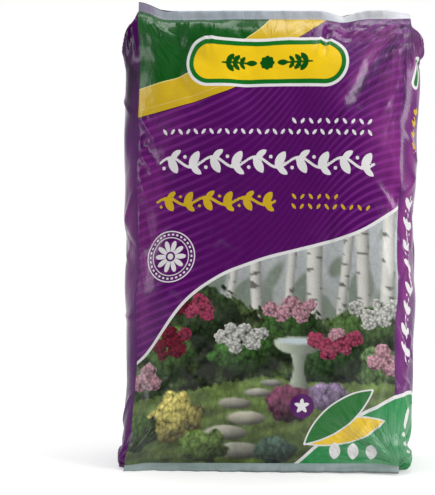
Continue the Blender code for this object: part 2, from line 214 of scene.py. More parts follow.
@dataclass(frozen=True)
class SackForm:
    """The filled sack's shape, before the film drapes and creases over it."""

    panel_width: float = 0.382
    side_width: float = 0.140
    weld_strip: float = 0.0125
    weld_thickness: float = 0.0012
    end_bow: float = 0.0005

    top_weld_height: float = 0.628
    base_weld_height: float = 0.0145
    body_depth: float = 0.165
    shoulder_drop: float = 0.300
    shoulder_roundness: float = 2.4
    top_bluntness: float = 0.7
    panel_draw_in: float = 0.0085
    panel_flatness: float = 4.0
    side_bulge: float = 0.0195
    side_flatness: float = 3.0
    top_side_reach: float = 0.026
    base_side_reach: float = 0.012
    shoulder_place: float = 0.050
    left_shoulder: float = 0.0055
    left_shoulder_reach: float = 0.050
    right_shoulder: float = 0.009
    right_shoulder_reach: float = 0.110
    left_foot: float = -0.006
    right_foot: float = 0.0045
    side_foot_reach: float = 0.075
    edge_setback: float = 0.020
    setback_limit: float = 0.6
    heel_radius: float = 0.030
    foot_setback: float = 0.008
    foot_reach: float = 0.035
    sole_rise: float = 0.030
    sole_flattening: float = 0.003
    lean: float = 0.010
    skew: float = 0.005

    top_tuck_depth: float = 0.055
    top_tuck_reach: float = 0.045
    base_tuck_depth: float = 0.020
    base_tuck_reach: float = 0.030

    ear_rise: float = 0.0125
    ear_reach: float = 0.042
    dip_place: float = 0.098
    dip_depth: float = 0.005
    dip_width: float = 0.020
    top_wave: float = 0.004
    top_wave_length: float = 0.230
    weld_pull: float = 0.060
    top_strip_lean: float = math.radians(8)
    dip_strip_lean: float = math.radians(45)
    end_strip_lean: float = math.radians(60)
    end_strip_reach: float = 0.040
    base_strip_lean: float = math.radians(25)
    base_ear_lean: float = math.radians(52)
    base_ear_reach: float = 0.035
    base_ear_drop: float = 0.003
    base_tilt: float = 0.0025

    @property
    def body_height(self) -> float:
        """Height between the two weld lines."""
        return self.top_weld_height - self.base_weld_height

    def fullness(self, height: Array) -> Array:
        """The share of its full depth that the sack has at a height."""
        climb = (height - (self.top_weld_height - self.shoulder_drop)) / self.shoulder_drop
        return (1 - np.clip(climb, 0, 1) ** self.shoulder_roundness) ** self.top_bluntness

    def front_reach(self, height: Array | float) -> Array:
        """How far the front panel stands from the middle plane, set back at the foot."""
        above = np.maximum(np.asarray(height) - self.base_weld_height, 0)
        foot = self.foot_setback * np.exp(-above / self.foot_reach)
        return (self.body_depth / 2 - foot) * self.fullness(np.asarray(height))

    def front_profile(self, share: Array) -> Array:
        """Points up the middle of the front panel.

        Args:
            share: shares of the panel's length, from the base weld line to the top one.

        Returns:
            One y, z pair for each share.
        """
        height = self.base_weld_height + self.body_height * share
        return np.stack([-self.front_reach(height), height], axis=-1)

    def back_profile(self, share: Array) -> Array:
        """The same up the back panel, which first runs under the sack and round the heel."""
        weld_y = -float(self.front_reach(self.base_weld_height))
        sole = self.body_depth / 2 - self.heel_radius - weld_y
        heel = self.heel_radius * math.pi / 2
        run = share * (sole + heel + self.top_weld_height - self.heel_radius)
        turn = np.clip((run - sole) / self.heel_radius, 0, math.pi / 2)
        climb = np.maximum(run - sole - heel, 0)
        height = self.base_weld_height * np.maximum(1 - run / self.sole_rise, 0) ** 2
        height = height + self.heel_radius * (1 - np.cos(turn)) + climb
        on_sole = weld_y + run
        past_sole = self.body_depth / 2 - self.heel_radius * (1 - np.sin(turn))
        up_back = self.body_depth / 2 * self.fullness(height)
        y = np.where(run < sole, on_sole, np.where(climb > 0, up_back, past_sole))
        return np.stack([y, height], axis=-1)

    def top_weld_shift(self, across: Array) -> Array:
        """How far the top weld is moved from a straight line: a raised ear, a dip and a slow wave."""
        rise = self.ear_rise * ease((self.ear_reach - self.panel_width / 2 - across) / self.ear_reach)
        dip = self.dip_depth * bell(across - self.dip_place, self.dip_width)
        wave = self.top_wave * np.sin(2 * np.pi * across / self.top_wave_length)
        return np.stack([np.zeros_like(across), wave, rise - dip], axis=-1)

    def base_weld_shift(self, across: Array) -> Array:
        """How far the base weld is moved: it tilts a little, and its two ends drop and reach forward."""
        end = ease((np.abs(across) - self.panel_width / 2 + self.base_ear_reach) / self.base_ear_reach)
        tilt = self.base_tilt * across / (self.panel_width / 2)
        drop = self.base_ear_drop * end
        return np.stack([np.zeros_like(across), -drop, tilt - drop], axis=-1)

    def strip_direction(self, across: Array, at_top: bool) -> Array:
        """The way a weld's strip stands or hangs, away from its weld line."""
        half = self.panel_width / 2
        if at_top:
            end = ease((across - half + self.end_strip_reach) / self.end_strip_reach)
            dip = bell(across - self.dip_place, self.dip_width)
            lean = self.top_strip_lean + (self.dip_strip_lean - self.top_strip_lean) * dip
            lean = lean + (self.end_strip_lean - lean) * end
            return np.stack([np.zeros_like(across), np.sin(lean), np.cos(lean)], axis=-1)
        end = ease((np.abs(across) - half + self.base_ear_reach) / self.base_ear_reach)
        lean = self.base_strip_lean + (self.base_ear_lean - self.base_strip_lean) * end
        return np.stack([np.zeros_like(across), -np.sin(lean), -np.cos(lean)], axis=-1)

    def side_reach(self, side: Array, place: Array, film_to_top: Array, film_to_base: Array) -> Array:
        """How far the gusseted sides stand out from the edges of the two panels."""
        film_to_weld = np.minimum(film_to_top, film_to_base)
        at_top = film_to_top < film_to_base
        depth = np.where(at_top, self.top_tuck_depth, self.base_tuck_depth)
        reach = np.where(at_top, self.top_tuck_reach, self.base_tuck_reach)
        spread = np.where(at_top, self.top_side_reach, self.base_side_reach)
        from_shoulder = film_to_top - self.shoulder_place
        shoulder = np.where(
            side == Side.RIGHT,
            self.right_shoulder * bell(from_shoulder, self.right_shoulder_reach),
            self.left_shoulder * bell(from_shoulder, self.left_shoulder_reach),
        )
        tuck = depth * (1 - ease(film_to_weld / reach)) * ease(film_to_weld / self.weld_thickness)
        foot = np.where(side == Side.RIGHT, self.right_foot, self.left_foot)
        foot = foot * (1 - ease(film_to_base / self.side_foot_reach))
        bulge = (self.side_bulge + shoulder + foot) * ease(film_to_weld / spread)
        fold = 1 - np.abs(place)
        return self.end_bow + bulge * (1 - np.abs(place) ** self.side_flatness) - tuck * fold**2

    def body_points(self, side: Array, place: Array, share: Array) -> Array:
        """Points of the filled body between the two weld lines.

        Args:
            side: the side of each point.
            place: its place across that side, from -1 to 1.
            share: its share of the film's length from the base weld line.

        Returns:
            One x, y, z row for each point.
        """
        front = self.front_profile(share)
        back = self.back_profile(share)
        middle = (front + back) / 2
        chord = front - back
        length = np.linalg.norm(chord, axis=-1)
        film_to_top = (1 - share) * self.body_height
        film_to_base = share * self.body_height
        film_to_weld = np.minimum(film_to_top, film_to_base)

        outward = chord / np.maximum(length, 1e-9)[..., None]
        slant = math.sqrt(0.5)
        outward[(film_to_weld < 1e-6) & (share > 0.5)] = (-1.0, 0.0)
        outward[(film_to_weld < 1e-6) & (share < 0.5)] = (-slant, slant)
        half_chord = np.maximum(length / 2, self.weld_thickness / 2)
        setback = np.minimum(self.edge_setback, self.setback_limit * half_chord)
        setback = setback * ease(film_to_weld / self.weld_pull)
        half_width = self.panel_width / 2 - self.panel_draw_in * ease(film_to_weld / self.weld_pull)

        facing = facing_of(side)
        on_panel = is_panel(side)
        panel_across = facing * place * half_width
        panel_out = facing * (half_chord - setback * np.abs(place) ** self.panel_flatness)
        side_across = facing * (half_width + self.side_reach(side, place, film_to_top, film_to_base))
        side_out = -facing * place * (half_chord - setback)

        across = np.where(on_panel, panel_across, side_across)
        out = np.where(on_panel, panel_out, side_out)
        flat = middle + outward * out[..., None]
        points = np.stack([across, flat[..., 0], flat[..., 1]], axis=-1)
        pull_top = 1 - ease(film_to_top / self.weld_pull)
        pull_base = 1 - ease(film_to_base / self.weld_pull)
        points += self.top_weld_shift(across) * pull_top[..., None]
        points += self.base_weld_shift(across) * pull_base[..., None]
        return points

    def strip_points(self, side: Array, place: Array, from_weld: Array, at_top: bool) -> Array:
        """Points of a weld's flat strip.

        Args:
            side: the side of each point.
            place: its place across that side, from -1 to 1.
            from_weld: its share of the way from the weld line to the free edge.
            at_top: whether this is the top weld.

        Returns:
            One x, y, z row for each point.
        """
        height = self.top_weld_height if at_top else self.base_weld_height
        reach = 0.0 if at_top else -float(self.front_reach(height))
        facing = facing_of(side)
        on_panel = is_panel(side)
        half = self.panel_width / 2
        across = np.where(on_panel, facing * place * half, facing * (half + self.end_bow * (1 - place**2)))
        layer = np.where(on_panel, facing, -facing * place)
        run = self.strip_direction(across, at_top)
        turn = 1 if at_top else -1
        outward = np.stack([np.zeros_like(across), -turn * run[..., 2], turn * run[..., 1]], axis=-1)
        line = np.stack([across, np.full_like(across, reach), np.full_like(across, height)], axis=-1)
        shift = self.top_weld_shift(across) if at_top else self.base_weld_shift(across)
        points = line + shift + run * (self.weld_strip * from_weld)[..., None]
        return points + outward * (layer * self.weld_thickness / 2)[..., None]

    def settle(self, points: Array) -> Array:
        """Rest points on the floor: the underside spreads flat, and the sack leans and is a little askew."""
        stand = self.top_weld_height / (self.top_weld_height - self.sole_flattening)
        height = np.maximum((points[..., 2] - self.sole_flattening) * stand, 0.0)
        rise = height / self.top_weld_height
        askew = self.skew * (rise - 0.5) * points[..., 1] / (self.body_depth / 2)
        across = points[..., 0] + self.lean * rise - askew
        return np.stack([across, points[..., 1], height], axis=-1)


@dataclass
class FilmDrape:
    """A short cloth run that lets the film find its own shape between its two welds."""

    form: SackForm
    lattice: FilmLattice = FilmLattice(
        panel_columns=54, side_columns=20, back_columns=54, body_rows=98, strip_rows=0, crowding=0.0
    )
    frames: int = 36
    pressure: float = 1.5
    width_ease: float = 0.985
    side_ease: float = 1.00
    length_ease: float = 1.004
    lump_seed: int = 7
    lump_height: float = 0.0016
    plates: list[bpy.types.Object] = field(default_factory=list)

    def start_points(self) -> Array:
        """The sack's form on the coarse lattice, slightly uneven, as rows of columns."""
        share, _ = np.meshgrid(self.lattice.shares(), self.lattice.places(), indexing="ij")
        side = np.broadcast_to(self.lattice.sides(), share.shape)
        place = np.broadcast_to(self.lattice.places(), share.shape)
        points = self.form.body_points(side, place, share)
        height = self.lumps(points.shape[:2])
        height[0] = 0
        height[-1] = 0
        points = self.form.settle(points + outward_normals(points) * height[..., None])
        points[..., 2] = np.maximum(points[..., 2], 0.0004)
        return points

    def lumps(self, shape: tuple[int, int]) -> Array:
        """Smooth random unevenness of the filling, the same in each run."""
        rng = np.random.default_rng(self.lump_seed)
        total = np.zeros(shape)
        for passes, weight in ((12, 0.6), (50, 1.4)):
            noise = rng.normal(size=shape)
            for _ in range(passes):
                noise = (
                    noise
                    + np.roll(noise, 1, 0)
                    + np.roll(noise, -1, 0)
                    + np.roll(noise, 1, 1)
                    + np.roll(noise, -1, 1)
                ) / 5
            total += weight * self.lump_height * noise / noise.std()
        return total

    def flat_points(self, start: Array) -> Array:
        """The same film laid flat, with its gussets tucked in, a little larger than the form needs."""
        side = self.lattice.sides()
        place = self.lattice.places()
        half = self.form.panel_width / 2 * self.width_ease
        tuck = self.form.side_width / 2 * self.side_ease
        facing = facing_of(side)
        on_panel = is_panel(side)
        across = np.where(on_panel, facing * place * half, facing * (half - tuck * (1 - np.abs(place))))
        steps = np.linalg.norm(np.diff(start, axis=0), axis=2)
        along = np.concatenate([np.zeros((1, start.shape[1])), np.cumsum(steps, axis=0)])
        length = along[-1].copy()
        length[~on_panel] = np.minimum(length[~on_panel], along[-1][on_panel].max())
        scale = length / along[-1] * self.length_ease
        flat = np.zeros_like(start)
        flat[..., 0] = across
        flat[..., 2] = along * scale
        return flat

    def add_plate(self, name: str, place: Triple, normal: Triple) -> None:
        """Add a hidden plate that keeps the film on one side of it."""
        bm = bmesh.new()
        bmesh.ops.create_grid(bm, x_segments=2, y_segments=2, size=1.5)
        plate = add_object(name, make_mesh(name, bm))
        plate.location = place
        point_along(plate, Vector(normal), "Z")
        plate.modifiers.new("plate", "COLLISION")
        plate.collision.thickness_outer = 0.002
        plate.collision.cloth_friction = 5
        self.plates.append(plate)

    def run(self) -> Array:
        """Drape the film.

        Returns:
            The film's points as rows of columns, from the base weld line to the top one.
        """
        start = self.start_points()
        rows, columns = start.shape[:2]
        flat = self.flat_points(start)
        bm = self.lattice.make_tube()
        caps = [face for face in bm.faces if len(face.verts) > 4]
        bmesh.ops.delete(bm, geom=caps, context="FACES_ONLY")
        mesh = make_mesh("drape", bm)
        row, column = self.lattice.address(get_points(mesh))
        set_points(mesh, start[row, column])
        film = add_object("drape", mesh)
        film.shape_key_add(name="Basis")
        cut = film.shape_key_add(name="flat")
        cut.data.foreach_set("co", flat[row, column].ravel())
        welds = film.vertex_groups.new(name="welds")
        welds.add([int(i) for i in np.flatnonzero((row == 0) | (row == rows - 1))], 1.0, "ADD")

        half = self.form.body_depth / 2
        self.add_plate("floor_plate", (0, 0, -0.002), (0, 0, 1))
        self.add_plate("front_plate", (0, -half - 0.004, 0.4), (0, 1, 0))
        self.add_plate("back_plate", (0, half + 0.004, 0.4), (0, -1, 0))
        self.add_cloth(film, cut)
        scene = bpy.context.scene
        for frame in range(1, self.frames + 1):
            scene.frame_set(frame)
        depsgraph = bpy.context.evaluated_depsgraph_get()
        result = np.empty((rows, columns, 3))
        result[row, column] = get_points(film.evaluated_get(depsgraph).to_mesh())
        for helper in [film, *self.plates]:
            bpy.data.objects.remove(helper, do_unlink=True)
        scene.frame_set(1)
        return result

    def add_cloth(self, film: bpy.types.Object, cut: bpy.types.ShapeKey) -> None:
        """Give the film the cloth settings of a thin, stiff, hardly stretching sheet."""
        cloth = film.modifiers.new("film", "CLOTH")
        settings = cloth.settings
        settings.quality = 6
        settings.mass = 0.3
        settings.tension_stiffness = 80
        settings.compression_stiffness = 20
        settings.shear_stiffness = 30
        settings.bending_stiffness = 0.6
        settings.tension_damping = 10
        settings.compression_damping = 10
        settings.shear_damping = 10
        settings.bending_damping = 0.5
        settings.air_damping = 2.0
        settings.use_pressure = True
        settings.uniform_pressure_force = self.pressure
        settings.vertex_group_mass = "welds"
        settings.rest_shape_key = cut
        settings.effector_weights.gravity = 0.0
        cloth.collision_settings.use_collision = True
        cloth.collision_settings.distance_min = 0.002
        cloth.collision_settings.use_self_collision = False
        cloth.point_cache.frame_start = 1
        cloth.point_cache.frame_end = self.frames + 5


def sample_grid(grid: Array, rows: Array, columns: Array) -> Array:
    """Read a grid of points between its nodes along smooth curves.

    Args:
        grid: points as rows of columns, closed round the columns.
        rows: places between the rows, as fractional row numbers.
        columns: places between the columns, as fractional column numbers.

    Returns:
        The grid's value at each pair of a row place and a column place.
    """

    def weights(share: Array) -> list[Array]:
        """Weights of the four nodes round a place on a Catmull-Rom curve."""
        s2 = share * share
        s3 = s2 * share
        return [
            0.5 * (-s3 + 2 * s2 - share),
            0.5 * (3 * s3 - 5 * s2 + 2),
            0.5 * (-3 * s3 + 4 * s2 + share),
            0.5 * (s3 - s2),
        ]

    height, width = grid.shape[:2]
    row = np.clip(np.floor(rows).astype(int), 0, height - 2)
    column = np.floor(columns).astype(int)
    column_weights = weights(columns - column)
    row_weights = weights(rows - row)
    across = sum(
        grid[:, (column + k - 1) % width] * column_weights[k][None, :, None] for k in range(4)
    )
    return sum(
        across[np.clip(row + k - 1, 0, height - 1)] * row_weights[k][:, None, None] for k in range(4)
    )


@dataclass(frozen=True)
class Crease:
    """A line along which the film is bent out or in.

    Args:
        side: the side of the tube that it lies on.
        start: its start, as metres across the film and metres up it.
        end: its end, the same.
        depth: how far the film stands out along it, or sinks if it is negative.
        width: how far from the line the bend dies away.
        sharpness: 0 for a soft fold, 1 for a crisp one.
        bow: how far its middle is bent aside.
        fade: the share of its length over which each end dies away.
    """

    side: Side
    start: Pair
    end: Pair
    depth: float
    width: float
    sharpness: float = 1.0
    bow: float = 0.0
    fade: float = 0.35

    def relief(self, across: Array, along: Array) -> Array:
        """How far this crease lifts the film at each place on its side."""
        start = np.array(self.start)
        run = np.array(self.end) - start
        length = float(np.hypot(*run))
        unit = run / length
        away_x = across - start[0]
        away_y = along - start[1]
        share = (away_x * unit[0] + away_y * unit[1]) / length
        aside = away_y * unit[0] - away_x * unit[1] - self.bow * 4 * share * (1 - share)
        crisp = np.exp(-np.abs(aside) / self.width)
        soft = bell(aside, self.width * 1.3)
        ends = ease(share / self.fade) * ease((1 - share) / self.fade)
        return self.depth * ends * (self.sharpness * crisp + (1 - self.sharpness) * soft)


@dataclass
class FilmCreases:
    """Every crease of the film, and the crumpled patches between them."""

    form: SackForm
    film_length: float
    seed: int = 23

    def fan(
        self,
        side: Side,
        centre: Pair,
        turns: Pair,
        lengths: Pair,
        count: int,
        depth: float,
        gap: float = 0.012,
    ) -> list[Crease]:
        """Creases that spread from one point, as where a corner of the sack pulls the film.

        Args:
            side: the side of the tube.
            centre: the point that they spread from.
            turns: the first and last direction in degrees, from the film's across axis.
            lengths: the least and greatest length.
            count: how many there are.
            depth: the greatest depth.
            gap: how far from the centre they start.

        Returns:
            The creases.
        """
        rng = np.random.default_rng(self.seed + count + int(side) * 17 + int(abs(centre[0]) * 1000))
        creases = []
        for number in range(count):
            turn = math.radians(turns[0] + (turns[1] - turns[0]) * (number + rng.uniform(0.1, 0.9)) / count)
            reach = rng.uniform(*lengths)
            begin = gap * rng.uniform(0.6, 2.0)
            way = np.array([math.cos(turn), math.sin(turn)])
            start = np.array(centre) + way * begin
            end = np.array(centre) + way * reach
            lift = depth * rng.uniform(0.45, 1.0) * rng.choice([1, 1, -1])
            bow = reach * rng.uniform(-0.05, 0.05)
            creases.append(
                Crease(side, tuple(start), tuple(end), lift, rng.uniform(0.0022, 0.0042), 0.9, bow, 0.3)
            )
        return creases

    def gathers(self, side: Side, at_top: bool, count: int, depth: float, reach: Pair) -> list[Crease]:
        """Short creases that run into a panel from its weld."""
        rng = np.random.default_rng(self.seed * 3 + int(side) + 5 * at_top)
        half = self.form.panel_width / 2
        middle = 0.0 if side is Side.FRONT else half + self.form.side_width + half
        creases = []
        for number in range(count):
            across = middle + half * (-0.96 + 1.92 * (number + rng.uniform(0.1, 0.9)) / count)
            length = rng.uniform(*reach)
            lean = rng.uniform(-0.25, 0.25) * length
            if at_top:
                start, end = (across, self.film_length + 0.008), (across + lean, self.film_length - length)
            else:
                start, end = (across, -0.008), (across + lean, length)
            lift = depth * rng.uniform(0.3, 1.0) * rng.choice([1, -1])
            creases.append(Crease(side, start, end, lift, rng.uniform(0.0025, 0.006), 0.7, 0.0, 0.5))
        return creases

    def front(self) -> list[Crease]:
        """The creases of the front panel."""
        top = self.film_length
        lines = [
            ((0.184, top - 0.020), (0.104, top - 0.145), -0.0085, 0.0130, 0.35, 0.006, 0.30),
            ((0.191, top - 0.012), (0.150, top - 0.090), 0.0040, 0.0050, 0.9, 0.004, 0.30),
            ((0.160, top - 0.010), (0.122, top - 0.080), 0.0030, 0.0050, 0.8, -0.004, 0.40),
            ((0.191, top - 0.060), (0.150, top - 0.150), 0.0026, 0.0050, 0.8, 0.003, 0.40),
            ((0.0683, top + 0.004), (0.0640, top - 0.062), 0.0036, 0.0034, 0.9, 0.003, 0.35),
            ((0.0930, top + 0.004), (0.0800, top - 0.058), 0.0036, 0.0034, 0.9, -0.003, 0.35),
            ((0.0800, top + 0.004), (0.0740, top - 0.060), -0.0034, 0.0050, 0.3, 0.0, 0.35),
            ((0.1700, top - 0.008), (0.1770, top - 0.052), 0.0030, 0.0028, 1.0, 0.002, 0.35),
            ((0.1850, top - 0.010), (0.1830, top - 0.058), 0.0030, 0.0028, 1.0, -0.002, 0.35),
            ((-0.0980, top + 0.006), (-0.0955, top - 0.062), 0.0022, 0.0030, 1.0, 0.002, 0.35),
            ((-0.0850, top + 0.006), (-0.0830, top - 0.055), 0.0022, 0.0030, 1.0, -0.002, 0.35),
            ((-0.1170, top + 0.004), (-0.1440, top - 0.058), 0.0026, 0.0028, 1.0, 0.010, 0.30),
            ((-0.1280, top - 0.004), (-0.1500, top - 0.130), -0.0042, 0.0110, 0.2, 0.004, 0.30),
            ((-0.1560, top - 0.004), (-0.1640, top - 0.050), 0.0030, 0.0034, 0.9, 0.003, 0.35),
            ((-0.1910, 0.500), (-0.1600, 0.452), 0.0030, 0.0034, 0.9, 0.002, 0.30),
            ((-0.1910, 0.470), (-0.1660, 0.440), -0.0028, 0.0050, 0.5, 0.0, 0.30),
            ((-0.1910, 0.452), (-0.1640, 0.412), 0.0030, 0.0034, 0.9, 0.002, 0.30),
            ((-0.1860, 0.420), (-0.1700, 0.372), 0.0022, 0.0034, 0.9, -0.002, 0.30),
            ((-0.1820, 0.380), (-0.1690, 0.300), -0.0024, 0.0060, 0.4, 0.002, 0.30),
            ((0.1040, 0.010), (0.1780, 0.108), 0.0026, 0.0030, 1.0, -0.004, 0.20),
            ((0.1640, 0.085), (0.1910, 0.170), 0.0024, 0.0032, 1.0, 0.003, 0.30),
            ((0.1300, 0.020), (0.1840, 0.088), -0.0028, 0.0055, 0.5, -0.003, 0.25),
            ((0.1100, 0.300), (0.1900, 0.230), 0.0014, 0.0050, 0.6, 0.004, 0.35),
            ((0.1420, 0.420), (0.1900, 0.360), 0.0014, 0.0050, 0.6, 0.003, 0.35),
            ((-0.0600, 0.610), (-0.0300, 0.500), -0.0016, 0.0110, 0.0, 0.004, 0.40),
            ((0.0200, 0.600), (0.0050, 0.470), -0.0014, 0.0120, 0.0, -0.004, 0.40),
            ((-0.1700, 0.040), (-0.1000, 0.120), -0.0026, 0.0100, 0.3, 0.004, 0.35),
        ]
        creases = [Crease(Side.FRONT, *line) for line in lines]
        corner = (0.189, 0.004)
        creases += self.fan(Side.FRONT, corner, (100, 166), (0.045, 0.125), 22, 0.0019)
        creases += self.fan(Side.FRONT, (-0.189, 0.004), (14, 84), (0.04, 0.11), 14, 0.0019)
        creases += self.fan(Side.FRONT, (0.187, top - 0.004), (196, 262), (0.03, 0.085), 14, 0.0019)
        creases += self.fan(Side.FRONT, (-0.187, top - 0.004), (278, 344), (0.03, 0.080), 10, 0.0017)
        creases += self.gathers(Side.FRONT, True, 26, 0.0014, (0.018, 0.060))
        creases += self.gathers(Side.FRONT, False, 22, 0.0012, (0.014, 0.035))
        return creases

    def back(self) -> list[Crease]:
        """The creases of the back panel, which pull from its corners and its welds."""
        top = self.film_length
        half = self.form.panel_width / 2
        left = half + self.form.side_width
        right = left + 2 * half
        lines = [
            ((left + 0.010, top - 0.012), (left + 0.085, top - 0.110), -0.0065, 0.0110, 0.4, 0.005),
            ((right - 0.010, top - 0.012), (right - 0.070, top - 0.120), -0.0060, 0.0110, 0.4, -0.005),
            ((left + 0.150, top), (left + 0.160, top - 0.075), 0.0026, 0.0050, 0.8),
            ((left + 0.002, 0.44), (left + 0.050, 0.36), 0.0030, 0.0060, 0.8),
            ((right - 0.002, 0.34), (right - 0.045, 0.25), 0.0030, 0.0060, 0.8),
            ((right - 0.004, 0.52), (right - 0.040, 0.45), -0.0030, 0.0070, 0.5),
            ((left + 0.090, 0.13), (left + 0.180, 0.19), 0.0016, 0.0080, 0.5),
        ]
        creases = [Crease(Side.BACK, *line) for line in lines]
        creases += self.fan(Side.BACK, (left + 0.003, top - 0.004), (280, 345), (0.03, 0.09), 9, 0.0024)
        creases += self.fan(Side.BACK, (right - 0.003, top - 0.004), (195, 262), (0.03, 0.09), 9, 0.0024)
        creases += self.fan(Side.BACK, (left + 0.003, 0.150), (10, 85), (0.03, 0.10), 7, 0.0020)
        creases += self.fan(Side.BACK, (right - 0.003, 0.150), (95, 170), (0.03, 0.10), 7, 0.0020)
        creases += self.gathers(Side.BACK, True, 20, 0.0016, (0.02, 0.06))
        return creases

    def gusset(self, side: Side) -> list[Crease]:
        """The creases of one gusseted side: its middle fold and the folds that tuck it in."""
        top = self.film_length
        half = self.form.panel_width / 2
        inner = half if side is Side.RIGHT else -half
        way = 1 if side is Side.RIGHT else -1
        middle = inner + way * self.form.side_width / 2
        outer = inner + way * self.form.side_width
        creases = [
            Crease(side, (middle, -0.02), (middle, top + 0.02), -0.0030, 0.0040, 1.0, 0.0, 0.05),
            Crease(side, (middle, top - 0.070), (inner, top - 0.010), 0.0040, 0.0055, 0.8, 0.0, 0.25),
            Crease(side, (middle, top - 0.074), (outer, top - 0.014), 0.0040, 0.0055, 0.8, 0.0, 0.25),
            Crease(side, (middle, 0.050), (inner, 0.006), 0.0030, 0.0050, 0.8, 0.0, 0.25),
            Crease(side, (middle, 0.050), (outer, 0.010), 0.0030, 0.0050, 0.8, 0.0, 0.25),
        ]
        rng = np.random.default_rng(self.seed + 40 + int(side))
        for number in range(11):
            height = 0.06 + (top - 0.14) * (number + rng.uniform(0.2, 0.8)) / 11
            from_edge = inner if number % 2 else outer
            toward = way if number % 2 else -way
            rise = rng.uniform(0.020, 0.055) * rng.choice([1, -1])
            end = (from_edge + toward * rng.uniform(0.035, 0.065), height + rise)
            lift = rng.uniform(0.0016, 0.0032) * rng.choice([1, -1])
            width = rng.uniform(0.003, 0.007)
            creases.append(Crease(side, (from_edge, height), end, lift, width, 0.8, 0.0, 0.3))
        if side is Side.RIGHT:
            creases += [
                Crease(side, (0.193, 0.345), (0.226, 0.262), 0.0030, 0.0034, 1.0, 0.0, 0.2),
                Crease(side, (0.226, 0.340), (0.193, 0.268), 0.0030, 0.0034, 1.0, 0.0, 0.2),
                Crease(side, (0.191, 0.112), (0.216, 0.152), 0.0030, 0.0034, 1.0, 0.0, 0.2),
                Crease(side, (0.216, 0.152), (0.238, 0.120), 0.0030, 0.0034, 1.0, 0.0, 0.2),
                Crease(side, (0.212, 0.150), (0.240, 0.230), 0.0026, 0.0040, 0.9, 0.0, 0.2),
            ]
        turns = (265, 330) if way > 0 else (210, 275)
        creases += self.fan(side, (inner, top - 0.004), turns, (0.03, 0.09), 7, 0.0022)
        return creases

    def noise(self, across: Array, along: Array, size: float, turn: int) -> Array:
        """Smooth unevenness of a given size, from -1 to 1, as a sum of a few turned waves."""
        rng = np.random.default_rng(self.seed + 100 + turn)
        total = np.zeros_like(across)
        for _ in range(7):
            angle = rng.uniform(0, 2 * math.pi)
            wave = 2 * math.pi / (size * rng.uniform(0.7, 1.5))
            crossing = (across * math.sin(angle) - along * math.cos(angle)) * wave * 0.45
            bend = 1.3 * np.sin(crossing + rng.uniform(0, 6))
            running = (across * math.cos(angle) + along * math.sin(angle)) * wave
            total += np.sin(running + bend + rng.uniform(0, 6))
        return total / 4

    def crumple(self, across: Array, along: Array) -> Array:
        """Fine sharp ridges in a band under the top weld, strongest towards its right end."""
        below = self.film_length - along
        band = ease(below / 0.006) * bell(below - 0.014, 0.013)
        right = ease((across - 0.055) / 0.05) * ease((0.200 - across) / 0.02)
        left = 0.45 * ease((-0.120 - across) / 0.04) * ease((0.191 + across) / 0.02)
        edge = bell(across + 0.184, 0.016) * bell(along - 0.450, 0.055)
        foot = bell(across - 0.176, 0.016) * bell(along - 0.026, 0.020)
        ridges = 1 - np.abs(self.noise(across, along, 0.026, 1)) * 1.8
        fine = 1 - np.abs(self.noise(across, along, 0.014, 2)) * 1.8
        strength = 0.0030 * band * (right + left) + 0.0016 * edge + 0.0013 * foot
        return strength * (0.65 * ridges + 0.35 * fine)

    def relief(self, side: Array, across: Array, along: Array) -> Array:
        """How far the creases lift the film from its draped shape.

        Args:
            side: the side of each point.
            across: its place across the film.
            along: its place up the film.

        Returns:
            The lift of each point along the film's normal.
        """
        total = np.zeros_like(across)
        groups = {
            Side.FRONT: self.front(),
            Side.RIGHT: self.gusset(Side.RIGHT),
            Side.BACK: self.back(),
            Side.LEFT: self.gusset(Side.LEFT),
        }
        for name, creases in groups.items():
            here = side == name
            for crease in creases:
                total[here] += crease.relief(across[here], along[here])
        front = side == Side.FRONT
        total[front] += self.crumple(across[front], along[front])
        total += 0.0010 * self.noise(across, along, 0.075, 3)
        return total


